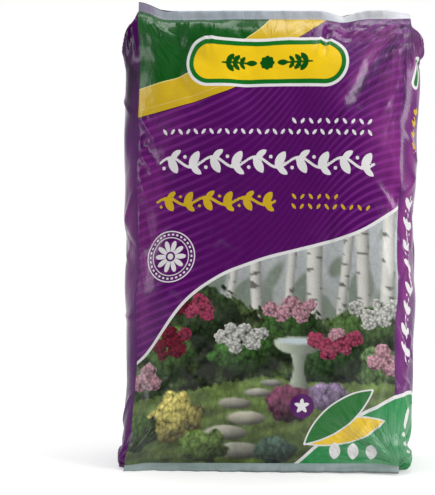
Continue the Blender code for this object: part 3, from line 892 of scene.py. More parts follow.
@dataclass
class PrintedFilm:
    """The sack's visible film: its mesh, its film coordinates and the place of each point."""

    form: SackForm
    lattice: FilmLattice = FilmLattice(
        panel_columns=156, side_columns=36, back_columns=84, body_rows=286, strip_rows=5, crowding=0.25
    )

    @property
    def film_length(self) -> float:
        """Length of the front panel's film between the weld lines."""
        profile = self.form.front_profile(np.linspace(0, 1, 400))
        return float(np.linalg.norm(np.diff(profile, axis=0), axis=1).sum())

    @property
    def back_middle(self) -> float:
        """Where the back panel's middle lies, across the film."""
        return self.form.panel_width + self.form.side_width

    def across(self, side: Array, place: Array) -> Array:
        """Metres across the film from the front panel's middle, on round the right side to the back."""
        half = self.form.panel_width / 2
        width = self.form.side_width
        choices = {
            Side.FRONT: place * half,
            Side.RIGHT: half + width * (place + 1) / 2,
            Side.BACK: self.back_middle + place * half,
            Side.LEFT: -half - width * (1 - place) / 2,
        }
        total = np.zeros_like(place)
        for name, value in choices.items():
            total = np.where(side == name, value, total)
        return total

    def along(self) -> Array:
        """Metres up the film at each row, from the front panel's base weld line."""
        shares = self.lattice.shares() * self.film_length
        strip = self.form.weld_strip * np.arange(1, self.lattice.strip_rows + 1) / self.lattice.strip_rows
        return np.concatenate([-strip[::-1], shares, self.film_length + strip])

    def points(self, draped: Array, coarse: FilmLattice) -> Array:
        """Every point of the fine lattice, as rows of columns.

        Args:
            draped: the draped film on the coarse lattice.
            coarse: that lattice.

        Returns:
            One x, y, z row for each row and column, weld strips included.
        """
        side = self.lattice.sides()
        place = self.lattice.places()
        starts = np.cumsum([0] + [count for _, count in coarse.spans])[:-1]
        counts = np.array([count for _, count in coarse.spans])
        columns = starts[side] + (place + 1) / 2 * counts[side]
        share = self.lattice.shares()
        body = sample_grid(draped, share * coarse.body_rows, columns)

        strips = []
        for at_top in (False, True):
            from_weld = np.arange(self.lattice.strip_rows + 1) / self.lattice.strip_rows
            shape = (len(from_weld), len(side))
            strip = self.form.settle(
                self.form.strip_points(
                    np.broadcast_to(side, shape),
                    np.broadcast_to(place, shape),
                    np.broadcast_to(from_weld[:, None], shape),
                    at_top,
                )
            )
            strips.append(strip)
        body[0] = strips[0][0]
        body[-1] = strips[1][0]
        points = np.concatenate([strips[0][:0:-1], body, strips[1][1:]])
        return self.crease(points)

    def crease(self, points: Array) -> Array:
        """Bend the film along its creases, less so close to the welds and where it lies on the floor."""
        along, side = np.meshgrid(self.along(), self.lattice.sides(), indexing="ij")
        across = np.broadcast_to(self.across(self.lattice.sides(), self.lattice.places()), side.shape)
        lift = FilmCreases(self.form, self.film_length).relief(side, across, along)
        to_weld = np.minimum(along, self.film_length - along)
        lift = lift * ease(to_weld / 0.010)
        on_strip = ease(-to_weld / self.form.weld_strip)
        level = points[..., 0] * 2 * np.pi
        ripple = 0.0011 * np.sin(level / 0.041) + 0.0007 * np.sin(level / 0.017 + 1)
        points = points + outward_normals(points) * lift[..., None]
        points[..., 1] += on_strip * ripple
        points[..., 2] = np.maximum(points[..., 2], 0.0)
        return points

    def coordinates(self, mesh: bpy.types.Mesh, row: Array, column: Array) -> dict[str, Array]:
        """Film coordinates of every face corner.

        Args:
            mesh: the tube's mesh.
            row: the row of each vertex.
            column: the column of each vertex.

        Returns:
            The side, the distance across the film and the distance up it.
        """
        lattice = self.lattice
        vertex = np.empty(len(mesh.loops), dtype=np.int32)
        mesh.loops.foreach_get("vertex_index", vertex)
        start = np.empty(len(mesh.polygons), dtype=np.int32)
        total = np.empty(len(mesh.polygons), dtype=np.int32)
        mesh.polygons.foreach_get("loop_start", start)
        mesh.polygons.foreach_get("loop_total", total)
        face = np.repeat(np.arange(len(total)), total)
        corner_column = column[vertex]
        lowest = np.minimum.reduceat(corner_column, start)
        highest = np.maximum.reduceat(corner_column, start)
        base = np.where((lowest == 0) & (highest == lattice.columns - 1), highest, lowest)[face]
        side = lattice.sides()[base]
        counts = np.array([count for _, count in lattice.spans])
        ahead = (corner_column != base).astype(float)
        place = lattice.places()[base] + ahead * 2 / counts[side]
        along = self.along()[row[vertex]]
        return {"side": side, "across": self.across(side, place), "along": along, "face": face}


@dataclass(frozen=True)
class Disc:
    """A round spot of ink on the film."""

    centre: Pair
    radius: float

    def distance(self, x: Array, y: Array) -> Array:
        """Metres from the spot's edge, negative inside it."""
        return np.hypot(x - self.centre[0], y - self.centre[1]) - self.radius

    @property
    def box(self) -> tuple[float, float, float, float]:
        """Least x, greatest x, least y and greatest y."""
        x, y = self.centre
        return x - self.radius, x + self.radius, y - self.radius, y + self.radius


@dataclass(frozen=True)
class Leaf:
    """A pointed leaf or petal of ink, bounded by two arcs."""

    base: Pair
    tip: Pair
    width: float

    def distance(self, x: Array, y: Array) -> Array:
        """Metres from the leaf's edge, negative inside it."""
        run = np.array(self.tip) - np.array(self.base)
        half = float(np.hypot(*run)) / 2
        unit = run / (2 * half)
        middle = (np.array(self.base) + np.array(self.tip)) / 2
        away_x = x - middle[0]
        away_y = y - middle[1]
        along = away_x * unit[0] + away_y * unit[1]
        aside = np.abs(away_y * unit[0] - away_x * unit[1])
        bulge = self.width / 2
        radius = (half**2 + bulge**2) / (2 * bulge)
        return np.hypot(along, aside + radius - bulge) - radius

    @property
    def box(self) -> tuple[float, float, float, float]:
        """Least x, greatest x, least y and greatest y."""
        reach = self.width / 2
        xs = (self.base[0], self.tip[0])
        ys = (self.base[1], self.tip[1])
        return min(xs) - reach, max(xs) + reach, min(ys) - reach, max(ys) + reach


@dataclass(frozen=True)
class Stroke:
    """A line of ink through a few points."""

    points: Curve
    width: float

    def distance(self, x: Array, y: Array) -> Array:
        """Metres from the line's edge, negative inside it."""
        nearest = np.full_like(x, FAR)
        for start, end in zip(self.points, self.points[1:]):
            run_x = end[0] - start[0]
            run_y = end[1] - start[1]
            share = ((x - start[0]) * run_x + (y - start[1]) * run_y) / (run_x**2 + run_y**2)
            share = np.clip(share, 0, 1)
            away = np.hypot(x - start[0] - share * run_x, y - start[1] - share * run_y)
            nearest = np.minimum(nearest, away)
        return nearest - self.width / 2

    @property
    def box(self) -> tuple[float, float, float, float]:
        """Least x, greatest x, least y and greatest y."""
        xs = [point[0] for point in self.points]
        ys = [point[1] for point in self.points]
        return min(xs), max(xs), min(ys), max(ys)


Shape = Disc | Leaf | Stroke
FAR = 1.0


def ink_distance(shapes: list[Shape], x: Array, y: Array, margin: float = 0.008) -> Array:
    """Metres from the nearest edge of a group of shapes, negative inside any of them.

    Args:
        shapes: the shapes.
        x: places across the film.
        y: places up the film.
        margin: how far round each shape its distance is worked out.

    Returns:
        The distance at each place, or FAR where no shape is near.
    """
    total = np.full_like(x, FAR)
    for shape in shapes:
        least_x, most_x, least_y, most_y = shape.box
        near = (x > least_x - margin) & (x < most_x + margin) & (y > least_y - margin) & (y < most_y + margin)
        if near.any():
            total[near] = np.minimum(total[near], shape.distance(x[near], y[near]))
    return total


def above_curve(points: Curve, x: Array, y: Array, smoothing: float = 0.012) -> Array:
    """Metres by which places lie above a smooth curve that passes close to a few points."""
    dense = np.arange(-0.42, 0.80, 0.001)
    height = np.interp(dense, [point[0] for point in points], [point[1] for point in points])
    window = max(int(smoothing / 0.001), 1)
    for _ in range(2):
        padded = np.pad(height, window, mode="edge")
        height = np.convolve(padded, np.ones(2 * window + 1) / (2 * window + 1), mode="valid")
    slope = np.gradient(height, 0.001)
    return (y - np.interp(x, dense, height)) / np.hypot(1, np.interp(x, dense, slope))


@dataclass(frozen=True)
class Mound:
    """A rounded bush, stone or clump of the garden picture."""

    centre: Pair
    radii: Pair
    colour: tuple[int, int, int]
    leafy: float = 1.0


def wander(x: Array, y: Array, size: float, seed: int) -> Array:
    """Smooth unevenness from about -1 to 1, as a sum of turned waves."""
    rng = np.random.default_rng(seed)
    total = np.zeros_like(x)
    for _ in range(8):
        angle = rng.uniform(0, 2 * math.pi)
        wave = 2 * math.pi / (size * rng.uniform(0.6, 1.6))
        total += np.sin((x * math.cos(angle) + y * math.sin(angle)) * wave + rng.uniform(0, 6))
    return total / 4


@dataclass
class Garden:
    """A generic garden border, painted as fields of colour from the farthest to the nearest.

    Places are metres on the film, as in Artwork.
    """

    seed: int = 9
    mist: tuple[tuple[int, int, int], tuple[int, int, int]] = ((186, 190, 192), (150, 156, 152))
    trunks: tuple[Triple, ...] = (
        (-0.048, 0.010, 0.10), (-0.012, 0.016, -0.06), (0.036, 0.012, 0.05), (0.072, 0.022, -0.03),
        (0.113, 0.013, 0.08), (0.142, 0.018, -0.05), (0.176, 0.020, 0.02),
    )
    hedge: Curve = (
        (-0.20, 0.200), (-0.14, 0.216), (-0.09, 0.262), (-0.05, 0.244), (0.00, 0.218),
        (0.05, 0.228), (0.10, 0.206), (0.20, 0.214),
    )
    mounds: tuple[Mound, ...] = (
        Mound((-0.080, 0.205), (0.042, 0.046), (44, 62, 34)),
        Mound((0.150, 0.196), (0.056, 0.036), (70, 96, 50)),
        Mound((0.040, 0.190), (0.044, 0.040), (52, 84, 36)),
        Mound((-0.135, 0.160), (0.036, 0.036), (76, 112, 52)),
        Mound((-0.030, 0.160), (0.046, 0.030), (62, 104, 44)),
        Mound((0.100, 0.150), (0.046, 0.038), (48, 78, 38)),
        Mound((0.172, 0.140), (0.034, 0.036), (88, 112, 70)),
        Mound((-0.170, 0.115), (0.036, 0.030), (58, 88, 42)),
    )
    front_mounds: tuple[Mound, ...] = (
        Mound((-0.128, 0.066), (0.040, 0.036), (176, 166, 92), 1.25),
        Mound((-0.182, 0.050), (0.030, 0.030), (70, 96, 46)),
        Mound((0.040, 0.088), (0.034, 0.026), (112, 60, 84), 0.9),
        Mound((0.096, 0.098), (0.030, 0.022), (140, 120, 152), 0.9),
        Mound((-0.084, 0.026), (0.034, 0.024), (92, 116, 56)),
        Mound((0.018, 0.020), (0.030, 0.020), (74, 96, 84), 0.8),
    )
    lawn: Curve = ((-0.20, 0.095), (-0.10, 0.108), (0.00, 0.128), (0.08, 0.118), (0.20, 0.128))
    stones: tuple[Mound, ...] = (
        Mound((0.014, 0.118), (0.016, 0.005), (150, 150, 142), 0.1),
        Mound((-0.006, 0.104), (0.020, 0.006), (164, 162, 150), 0.1),
        Mound((-0.040, 0.088), (0.024, 0.008), (152, 150, 138), 0.1),
        Mound((-0.022, 0.067), (0.028, 0.010), (170, 166, 150), 0.1),
        Mound((-0.052, 0.045), (0.032, 0.011), (156, 154, 140), 0.1),
        Mound((-0.030, 0.018), (0.036, 0.013), (142, 142, 130), 0.1),
    )
    heads: tuple[tuple[float, float, float, float, float, int], ...] = (
        (-0.140, 0.178, 0.034, 0.020, 0.90, 7),
        (-0.096, 0.226, 0.026, 0.016, 0.62, 5),
        (-0.030, 0.182, 0.040, 0.016, 0.10, 8),
        (0.038, 0.222, 0.034, 0.014, 0.45, 6),
        (0.104, 0.178, 0.036, 0.016, 0.66, 7),
        (0.160, 0.226, 0.034, 0.018, 0.12, 7),
        (0.172, 0.160, 0.022, 0.014, 0.42, 4),
        (-0.172, 0.128, 0.022, 0.012, 0.40, 4),
    )

    def wander(self, x: Array, y: Array, size: float, turn: int) -> Array:
        """Unevenness of the picture's own."""
        return wander(x, y, size, self.seed + turn)

    def lay(self, canvas: Array, mask: Array, colour: Array | tuple[float, ...]) -> None:
        """Paint a colour over the canvas, as far as the mask says."""
        canvas += (np.asarray(colour, dtype=float) - canvas) * np.clip(mask, 0, 1)[..., None]

    def lay_mound(self, canvas: Array, leafy: Array, mound: Mound, x: Array, y: Array) -> None:
        """Paint a rounded mass that is light at its top left and dark at its foot."""
        u = (x - mound.centre[0]) / mound.radii[0]
        v = (y - mound.centre[1]) / mound.radii[1]
        size = min(mound.radii)
        ragged = 0.16 * mound.leafy * self.wander(x, y, size * 0.9, int(mound.centre[0] * 1000) % 97)
        share = np.hypot(u, v) + ragged
        mask = np.clip((1 - share) * size / 0.0022 + 0.5, 0, 1)
        light = np.clip(0.98 + 0.42 * v - 0.22 * u - 0.18 * share, 0.42, 1.45)
        self.lay(canvas, mask, np.asarray(mound.colour, dtype=float) * light[..., None])
        leafy += (mound.leafy - leafy) * mask

    def lay_trunks(self, canvas: Array, leafy: Array, x: Array, y: Array) -> None:
        """Paint the pale trunks, darker on their right and marked with short dark bars."""
        for number, (middle, width, lean) in enumerate(self.trunks):
            across = (x - middle - lean * (y - 0.25)) / (width / 2)
            mask = np.clip((1 - np.abs(across)) * width / 0.004 + 0.5, 0, 1)
            light = 0.98 - 0.20 * across - 0.16 * across**2
            bark = np.array((206, 205, 198), dtype=float) * light[..., None]
            self.lay(canvas, mask, bark)
            marks = self.wander(x * 0.35 + number, y, 0.011, 40 + number) - 0.62
            self.lay(canvas, mask * np.clip(marks * 4, 0, 0.75), (70, 68, 62))
            leafy *= 1 - mask

    def lay_basin(self, canvas: Array, leafy: Array, x: Array, y: Array) -> None:
        """Paint a stone bird bath: a foot, a tapered stem and a wide shallow basin with water in it."""
        middle = 0.052
        u = x - middle
        stone = np.array((146, 154, 140), dtype=float)
        light = np.clip(1.0 - 11.0 * u, 0.55, 1.35)[..., None]
        foot = np.hypot(u / 0.022, (y - 0.106) / 0.007)
        self.lay(canvas, (1 - foot) * 6 + 0.5, stone * light * 0.85)
        width = 0.0075 + 0.9 * np.abs(y - 0.140) ** 1.35
        stem = np.clip((width - np.abs(u)) / 0.002 + 0.5, 0, 1) * (y > 0.106) * (y < 0.172)
        self.lay(canvas, stem, stone * np.clip(1.0 - 26.0 * u, 0.5, 1.3)[..., None])
        bowl_drop = np.where(y < 0.178, 0.019, 0.007)
        below = np.hypot(u / 0.037, (y - 0.178) / bowl_drop)
        self.lay(canvas, (1 - below) * 9 + 0.5, stone * light)
        water = np.hypot(u / 0.031, (y - 0.1785) / 0.0045)
        self.lay(canvas, (1 - water) * 4 + 0.5, (196, 208, 212))
        solid = np.clip(stem + (below < 1) + (foot < 1), 0, 1)
        leafy *= 1 - solid

    def paint(self, x: Array, y: Array) -> tuple[Array, Array]:
        """Paint the picture.

        Args:
            x: places across the film.
            y: places up the film.

        Returns:
            The colour of each place from 0 to 255, and how leafy it is from 0 to 1.
        """
        height = np.clip((y - 0.18) / 0.16, 0, 1)[..., None]
        canvas = np.asarray(self.mist[1]) + (np.asarray(self.mist[0]) - np.asarray(self.mist[1])) * height
        leafy = np.full_like(x, 0.15)
        far = np.clip(self.wander(x, y, 0.050, 1) * 2 + (0.275 - y) * 25, 0, 0.75)
        self.lay(canvas, far, (112, 124, 108))
        self.lay_trunks(canvas, leafy, x, y)
        ragged = 0.006 * self.wander(x, y, 0.016, 2) + 0.003 * self.wander(x, y, 0.006, 3)
        hedge = above_curve(self.hedge, x, y, 0.008) + ragged
        mask = np.clip(-hedge / 0.002 + 0.5, 0, 1)
        dark = np.clip(0.92 + 0.5 * self.wander(x, y, 0.035, 4) + hedge * 4, 0.45, 1.6)[..., None]
        self.lay(canvas, mask, np.array((66, 84, 46), dtype=float) * dark)
        leafy += (1 - leafy) * mask
        for mound in self.mounds:
            self.lay_mound(canvas, leafy, mound, x, y)
        lawn = above_curve(self.lawn, x, y, 0.008)
        mask = np.clip(-(lawn + ragged * 0.4) / 0.002 + 0.5, 0, 1)
        tone = np.clip(1.0 + 0.16 * self.wander(x, y * 2.4, 0.040, 5) - (0.12 - y) * 2.4, 0.5, 1.3)[..., None]
        self.lay(canvas, mask, np.array((104, 126, 66), dtype=float) * tone)
        leafy += (0.45 - leafy) * mask
        for stone in self.stones:
            self.lay_mound(canvas, leafy, stone, x, y)
        self.lay_basin(canvas, leafy, x, y)
        for mound in self.front_mounds:
            self.lay_mound(canvas, leafy, mound, x, y)
        return canvas, leafy

    def blooms(self, x: Array, y: Array) -> tuple[Array, Array, Array]:
        """Round flower heads in drifts.

        Args:
            x: places across the film.
            y: places up the film.

        Returns:
            Each place's share of the way from a head's middle to its edge, its shade from 0 to 1, and the
            head's tint, from 0 for white to 1 for crimson.
        """
        rng = np.random.default_rng(self.seed)
        nearest = np.full_like(x, 2.0)
        shade = np.zeros_like(x)
        tint = np.zeros_like(x)
        for middle_x, middle_y, spread_x, spread_y, hue, count in self.heads:
            for number in range(count):
                turn = 2 * math.pi * (number * 0.618 % 1)
                reach = math.sqrt((number + 0.5) / count)
                head_x = middle_x + spread_x * reach * math.cos(turn)
                head_y = middle_y + spread_y * reach * math.sin(turn)
                radius = rng.uniform(0.0085, 0.0145)
                mine = min(max(hue + rng.uniform(-0.16, 0.16), 0.0), 1.0)
                share = np.hypot(x - head_x, (y - head_y) * 1.12) / radius
                closer = share < np.minimum(nearest, 1.5)
                nearest = np.where(closer, share, nearest)
                dark = 0.5 - 0.45 * (y - head_y) / radius + 0.25 * (x - head_x) / radius
                shade = np.where(closer, dark, shade)
                tint = np.where(closer, mine, tint)
        return nearest, np.clip(shade, 0, 1), tint


class Patch(NamedTuple):
    """A soft patch of painted sheen, or of painted shade where its level is below 0."""

    middle: Pair
    radii: Pair
    turn: float
    level: float


@dataclass
class PaintedSheen:
    """Painted sheen and painted shade on the purple ink, as soft patches that make its colour lighter or
    darker.
    """

    seed: int = 23
    front: tuple[Patch, ...] = (
        Patch((0.150, 0.588), (0.016, 0.040), 32, 0.85),
        Patch((0.178, 0.560), (0.012, 0.040), 20, 0.75),
        Patch((0.104, 0.618), (0.036, 0.010), 4, 0.60),
        Patch((0.160, 0.612), (0.030, 0.008), 2, 0.75),
        Patch((0.167, 0.470), (0.026, 0.060), 0, 0.75),
        Patch((0.184, 0.400), (0.012, 0.110), 0, 0.80),
        Patch((-0.168, 0.385), (0.022, 0.070), 0, 0.50),
        Patch((-0.178, 0.270), (0.014, 0.080), 0, 0.55),
        Patch((-0.150, 0.480), (0.030, 0.030), 30, 0.25),
        Patch((0.143, 0.560), (0.006, 0.064), 34, -0.90),
        Patch((0.121, 0.545), (0.010, 0.040), 30, 0.45),
        Patch((-0.192, 0.560), (0.006, 0.060), 0, -0.70),
    )
    right: tuple[Patch, ...] = (
        Patch((0.210, 0.330), (0.018, 0.230), 0, 1.00),
        Patch((0.236, 0.310), (0.012, 0.050), -14, 0.60),
        Patch((0.206, 0.575), (0.010, 0.045), 0, 0.50),
    )
    left: tuple[Patch, ...] = (
        Patch((-0.214, 0.340), (0.016, 0.130), 0, 0.60),
        Patch((-0.210, 0.555), (0.024, 0.070), 0, -1.00),
        Patch((-0.212, 0.130), (0.020, 0.060), 0, -0.30),
    )

    def level(self, side: Array, x: Array, y: Array) -> Array:
        """How much painted sheen, up to 1, or painted shade, down to -1, the ink gets at each place.

        Args:
            side: the side of each place.
            x: its place across the film.
            y: its place up the film.

        Returns:
            One number for each place.
        """
        total = np.zeros_like(x)
        for own, patches in ((Side.FRONT, self.front), (Side.RIGHT, self.right), (Side.LEFT, self.left)):
            here = side == own
            px, py = x[here], y[here]
            facets = 1 + 0.45 * wander(px, py * 0.6, 0.022, self.seed)
            level = np.zeros_like(px)
            for patch in patches:
                turn = math.radians(patch.turn)
                dx, dy = px - patch.middle[0], py - patch.middle[1]
                u = (dx * math.cos(turn) - dy * math.sin(turn)) / patch.radii[0]
                v = (dx * math.sin(turn) + dy * math.cos(turn)) / patch.radii[1]
                level += patch.level * np.exp(-(u**2) - v**2) * facets
            total[here] = level
        return np.clip(total, -1, 1)


@dataclass
class Artwork:
    """The generic print: fields of colour, leaf and flower ornament, and a garden border.

    Places are metres across the film from the front panel's middle and up it from the base weld line.
    """

    half: float
    film_length: float
    swirl_pitch: float = 0.0125

    band_top: Curve = (
        (-0.200, 0.535), (-0.160, 0.545), (-0.118, 0.560), (-0.075, 0.584), (-0.036, 0.610),
        (0.004, 0.642), (0.05, 0.68),
    )
    band_foot: Curve = (
        (-0.200, 0.496), (-0.150, 0.506), (-0.101, 0.519), (-0.058, 0.533), (-0.030, 0.550),
        (0.018, 0.596), (0.066, 0.628), (0.10, 0.655),
    )
    picture_top: Curve = (
        (-0.200, 0.147), (-0.176, 0.159), (-0.160, 0.177), (-0.146, 0.197), (-0.125, 0.227), (-0.100, 0.250),
        (-0.060, 0.275), (0.000, 0.297), (0.048, 0.309), (0.095, 0.321), (0.140, 0.339), (0.191, 0.374),
        (0.22, 0.40),
    )
    field_top: Curve = (
        (0.030, -0.020), (0.0486, 0.001), (0.0727, 0.021), (0.0924, 0.040), (0.125, 0.066), (0.160, 0.088),
        (0.191, 0.108), (0.212, 0.128), (0.235, 0.142), (0.270, 0.150), (0.331, 0.152), (0.50, 0.152),
    )

    def sprig(self, base: Pair, turn: float, size: float, pairs: int) -> list[Shape]:
        """A stem with pairs of leaves and one at its tip."""
        way = np.array([math.cos(turn), math.sin(turn)])
        start = np.array(base)
        shapes: list[Shape] = [Stroke((tuple(start), tuple(start + way * size * 0.8)), size * 0.05)]
        shapes.append(Leaf(tuple(start + way * size * 0.68), tuple(start + way * size), size * 0.16))
        for number in range(pairs):
            foot = start + way * size * (0.12 + 0.58 * number / pairs)
            for hand in (-1, 1):
                lean = turn + hand * math.radians(48)
                reach = size * (0.34 - 0.05 * number)
                tip = foot + reach * np.array([math.cos(lean), math.sin(lean)])
                shapes.append(Leaf(tuple(foot), tuple(tip), reach * 0.44))
        return shapes

    def vine(
        self,
        start: Pair,
        end: Pair,
        waves: int,
        swing: float,
        leaf: float,
        stem: float,
    ) -> list[Shape]:
        """A wavy stem with a leaf in each of its hollows and a bud beside it.

        Args:
            start: where the stem starts.
            end: where it ends.
            waves: how many full waves it makes.
            swing: how far it swings to each side.
            leaf: the length of its leaves.
            stem: the width of its stem.

        Returns:
            The shapes.
        """
        foot = np.array(start)
        run = np.array(end) - foot
        length = float(np.hypot(*run))
        unit = run / length
        aside = np.array([-unit[1], unit[0]])
        steps = waves * 10
        path = []
        for k in range(steps + 1):
            sway = aside * swing * math.sin(2 * math.pi * waves * k / steps)
            path.append(tuple(foot + unit * length * k / steps + sway))
        shapes: list[Shape] = [Stroke(tuple(path), stem)]
        for number in range(2 * waves):
            hand = 1 if number % 2 else -1
            middle = foot + unit * length * (number + 0.42) / (2 * waves)
            base = middle - aside * hand * swing * 0.9
            tip = middle + aside * hand * leaf * 0.62 + unit * leaf * 0.55
            shapes.append(Leaf(tuple(base), tuple(tip), leaf * 0.50))
            low = middle + unit * leaf * 0.10 - aside * hand * swing * 0.9
            under = low - aside * hand * leaf * 0.42 + unit * leaf * 0.62
            shapes.append(Leaf(tuple(low), tuple(under), leaf * 0.34))
            bud = middle - unit * leaf * 0.28 + aside * hand * leaf * 0.30
            shapes.append(Disc(tuple(bud), leaf * 0.11))
        return shapes

    def seed_row(self, start: Pair, length: float, size: float) -> list[Shape]:
        """A row of small seeds, each tilted the other way from the last."""
        count = int(length / (size * 1.05))
        shapes: list[Shape] = []
        for number in range(count):
            hand = 1 if number % 2 else -1
            x = start[0] + length * (number + 0.5) / count
            rise = size * 0.42 * hand
            base, tip = (x - size * 0.30, start[1] - rise), (x + size * 0.30, start[1] + rise)
            shapes.append(Leaf(base, tip, size * 0.40))
        return shapes

    def white_shapes(self) -> list[Shape]:
        """Ornament in white ink on the front panel and the right side."""
        half = self.half
        shapes = self.vine((-0.157, 0.432), (0.153, 0.432), 5, 0.0075, 0.0250, 0.0036)
        shapes += self.seed_row((0.030, 0.4905), 0.121, 0.0108)
        shapes += self.seed_row((-0.156, 0.4750), 0.307, 0.0108)
        shapes += self.vine((half + 0.026, 0.170), (half + 0.026, 0.398), 4, 0.0050, 0.0200, 0.0030)
        shapes.append(Stroke(((half + 0.034, 0.084), (half + 0.034, 0.107)), 0.014))
        for height in (0.030, 0.046, 0.062):
            shapes.append(Leaf((half + 0.022, height), (half + 0.042, height + 0.008), 0.008))
        for number in range(3):
            x = 0.101 + 0.0255 * number
            shapes.append(Leaf((x, 0.0055), (x + 0.004, 0.0325), 0.0155))
        return shapes

    def yellow_shapes(self) -> list[Shape]:
        """Ornament in yellow ink."""
        shapes = self.vine((-0.160, 0.377), (0.012, 0.377), 3, 0.0055, 0.0220, 0.0038)
        shapes += self.seed_row((0.033, 0.3840), 0.072, 0.0105)
        shapes += self.seed_row((0.033, 0.3700), 0.118, 0.0105)
        shapes += self.vine((self.half + 0.027, 0.455), (self.half + 0.027, 0.515), 2, 0.0030, 0.0120, 0.0022)
        return shapes

    def bands(self, side: Array, x: Array, y: Array) -> dict[str, Array]:
        """Every distance that the print's shader needs.

        Args:
            side: the side of each place.
            x: its place across the film.
            y: its place up the film.

        Returns:
            One array of distances for each name.
        """
        printed = (side == Side.FRONT) | (side == Side.RIGHT)
        front = side == Side.FRONT
        values: dict[str, Array] = {}

        def keep(name: str, here: Array, value: Array, elsewhere: float = FAR) -> None:
            """Keep values for some places, and one plain value for all the others."""
            total = np.full_like(x, elsewhere)
            total[here] = value
            values[name] = total

        px, py = x[printed], y[printed]
        fx, fy = x[front], y[front]
        keep("above_band", front, above_curve(self.band_top, fx, fy), -FAR)
        keep("above_foot", front, above_curve(self.band_foot, fx, fy), -FAR)
        keep("above_picture", front, above_curve(self.picture_top, fx, fy))
        keep("above_field", printed, above_curve(self.field_top, px, py))
        keep("white_ink", printed, ink_distance(self.white_shapes(), px, py))
        keep("yellow_ink", printed, ink_distance(self.yellow_shapes(), px, py))
        oval_x = np.maximum(np.abs(fx + 0.006) - 0.083, 0)
        oval = np.hypot(oval_x, fy - 0.5735) - 0.035
        keep("badge", front, oval)
        plate = Stroke(((self.half + 0.019, 0.548), (self.half + 0.027, 0.576)), 0.018)
        values["badge"][side == Side.RIGHT] = plate.distance(x[side == Side.RIGHT], y[side == Side.RIGHT])
        sprigs = self.sprig((-0.072, 0.5735), 0.0, 0.052, 3) + self.sprig((0.060, 0.5735), math.pi, 0.052, 3)
        sprigs += [Leaf((-0.006 + 0.011 * math.cos(a), 0.5735 + 0.011 * math.sin(a)), (-0.006, 0.5735), 0.008)
                   for a in np.arange(8) * math.pi / 4]
        keep("badge_sprig", front, ink_distance(sprigs, fx, fy))
        seedling_base = (0.062, 0.030)
        green_leaf = Leaf(seedling_base, (0.158, 0.114), 0.034)
        yellow_leaf = Leaf((0.066, 0.030), (0.176, 0.072), 0.033)
        keep("green_leaf", front, green_leaf.distance(fx, fy))
        keep("yellow_leaf", front, yellow_leaf.distance(fx, fy))
        keep("disc", front, Disc((0.058, 0.0855), 0.0175).distance(fx, fy))
        flower = [
            Leaf((0.058, 0.0855), (0.058 + 0.0115 * math.cos(a), 0.0855 + 0.0115 * math.sin(a)), 0.0055)
            for a in np.arange(5) * 2 * math.pi / 5 + math.pi / 2
        ]
        keep("disc_flower", front, ink_distance(flower, fx, fy))

        garden = Garden()
        share, shade, tint = garden.blooms(fx, fy)
        keep("bloom", front, share, 2.0)
        keep("bloom_shade", front, shade, 0.0)
        keep("bloom_tint", front, tint, 0.0)
        back_middle = np.abs(x).max()
        sweep = np.where(side == Side.BACK, x - np.sign(x) * back_middle, x)
        steep = 0.105 * np.tanh((sweep - 0.055) / 0.075)
        gentle = 0.30 * np.minimum(sweep, 0.0) + 0.10 * np.clip(sweep, 0.0, 0.2)
        values["swirl"] = np.where(is_panel(side), (y - steep - gentle) / self.swirl_pitch, 0.5)
        aside = ease((sweep - 0.055) / 0.085) + 0.8 * ease((-sweep - 0.050) / 0.085)
        under_band = bell(y + 0.28 * np.minimum(sweep, 0) - 0.515, 0.050) * ease((0.06 - sweep) / 0.06)
        values["swirl_share"] = np.clip(0.16 + 0.70 * aside + 0.40 * under_band, 0, 1)
        values["above_body"] = y - self.film_length
        values["to_rim"] = y + 0.0125
        return values


class Ink(Enum):
    """The inks and the film, as the eye sees them, from 0 to 255, and the colours of painted sheen, painted
    shade and painted highlights.
    """

    PURPLE = (84, 2, 97)
    SWIRL = (118, 36, 128)
    # The next two are not inks: painted sheen that makes the purple pinker and lighter, and painted shade
    # that darkens it.
    SHEEN_PINK = (204, 84, 180)
    SHADE_PURPLE = (30, 0, 38)
    # Pale for painted highlights along the film's pull lines; the base weld also takes it in pale streaks.
    HIGHLIGHT_AND_STREAK_PALE = (206, 220, 214)
    DEEP_EDGE = (66, 8, 52)
    GREEN = (0, 84, 14)
    LEAF_GREEN = (6, 112, 30)
    FIELD_GREEN = (0, 138, 66)
    YELLOW = (212, 176, 26)
    BRIGHT_YELLOW = (246, 204, 14)
    WHITE = (232, 230, 230)
    CREAM = (226, 206, 130)
    WELD_GREY = (168, 178, 188)
    WELD_PALE = (216, 217, 223)
    WELD_FOOT = (92, 124, 112)
    CUT = (34, 30, 40)
    PETAL_WHITE = (222, 222, 214)
    PETAL_PINK = (216, 162, 176)
    PETAL_ROSE = (190, 72, 108)
    PETAL_CRIMSON = (134, 30, 56)

    @property
    def linear(self) -> tuple[float, float, float, float]:
        """The same colour as the shader takes it."""
        parts = [part / 255 for part in self.value]
        return tuple(((p + 0.055) / 1.055) ** 2.4 if p > 0.04045 else p / 12.92 for p in parts) + (1.0,)


Socket = bpy.types.NodeSocket
Value = Socket | float
Colour = Socket | Ink


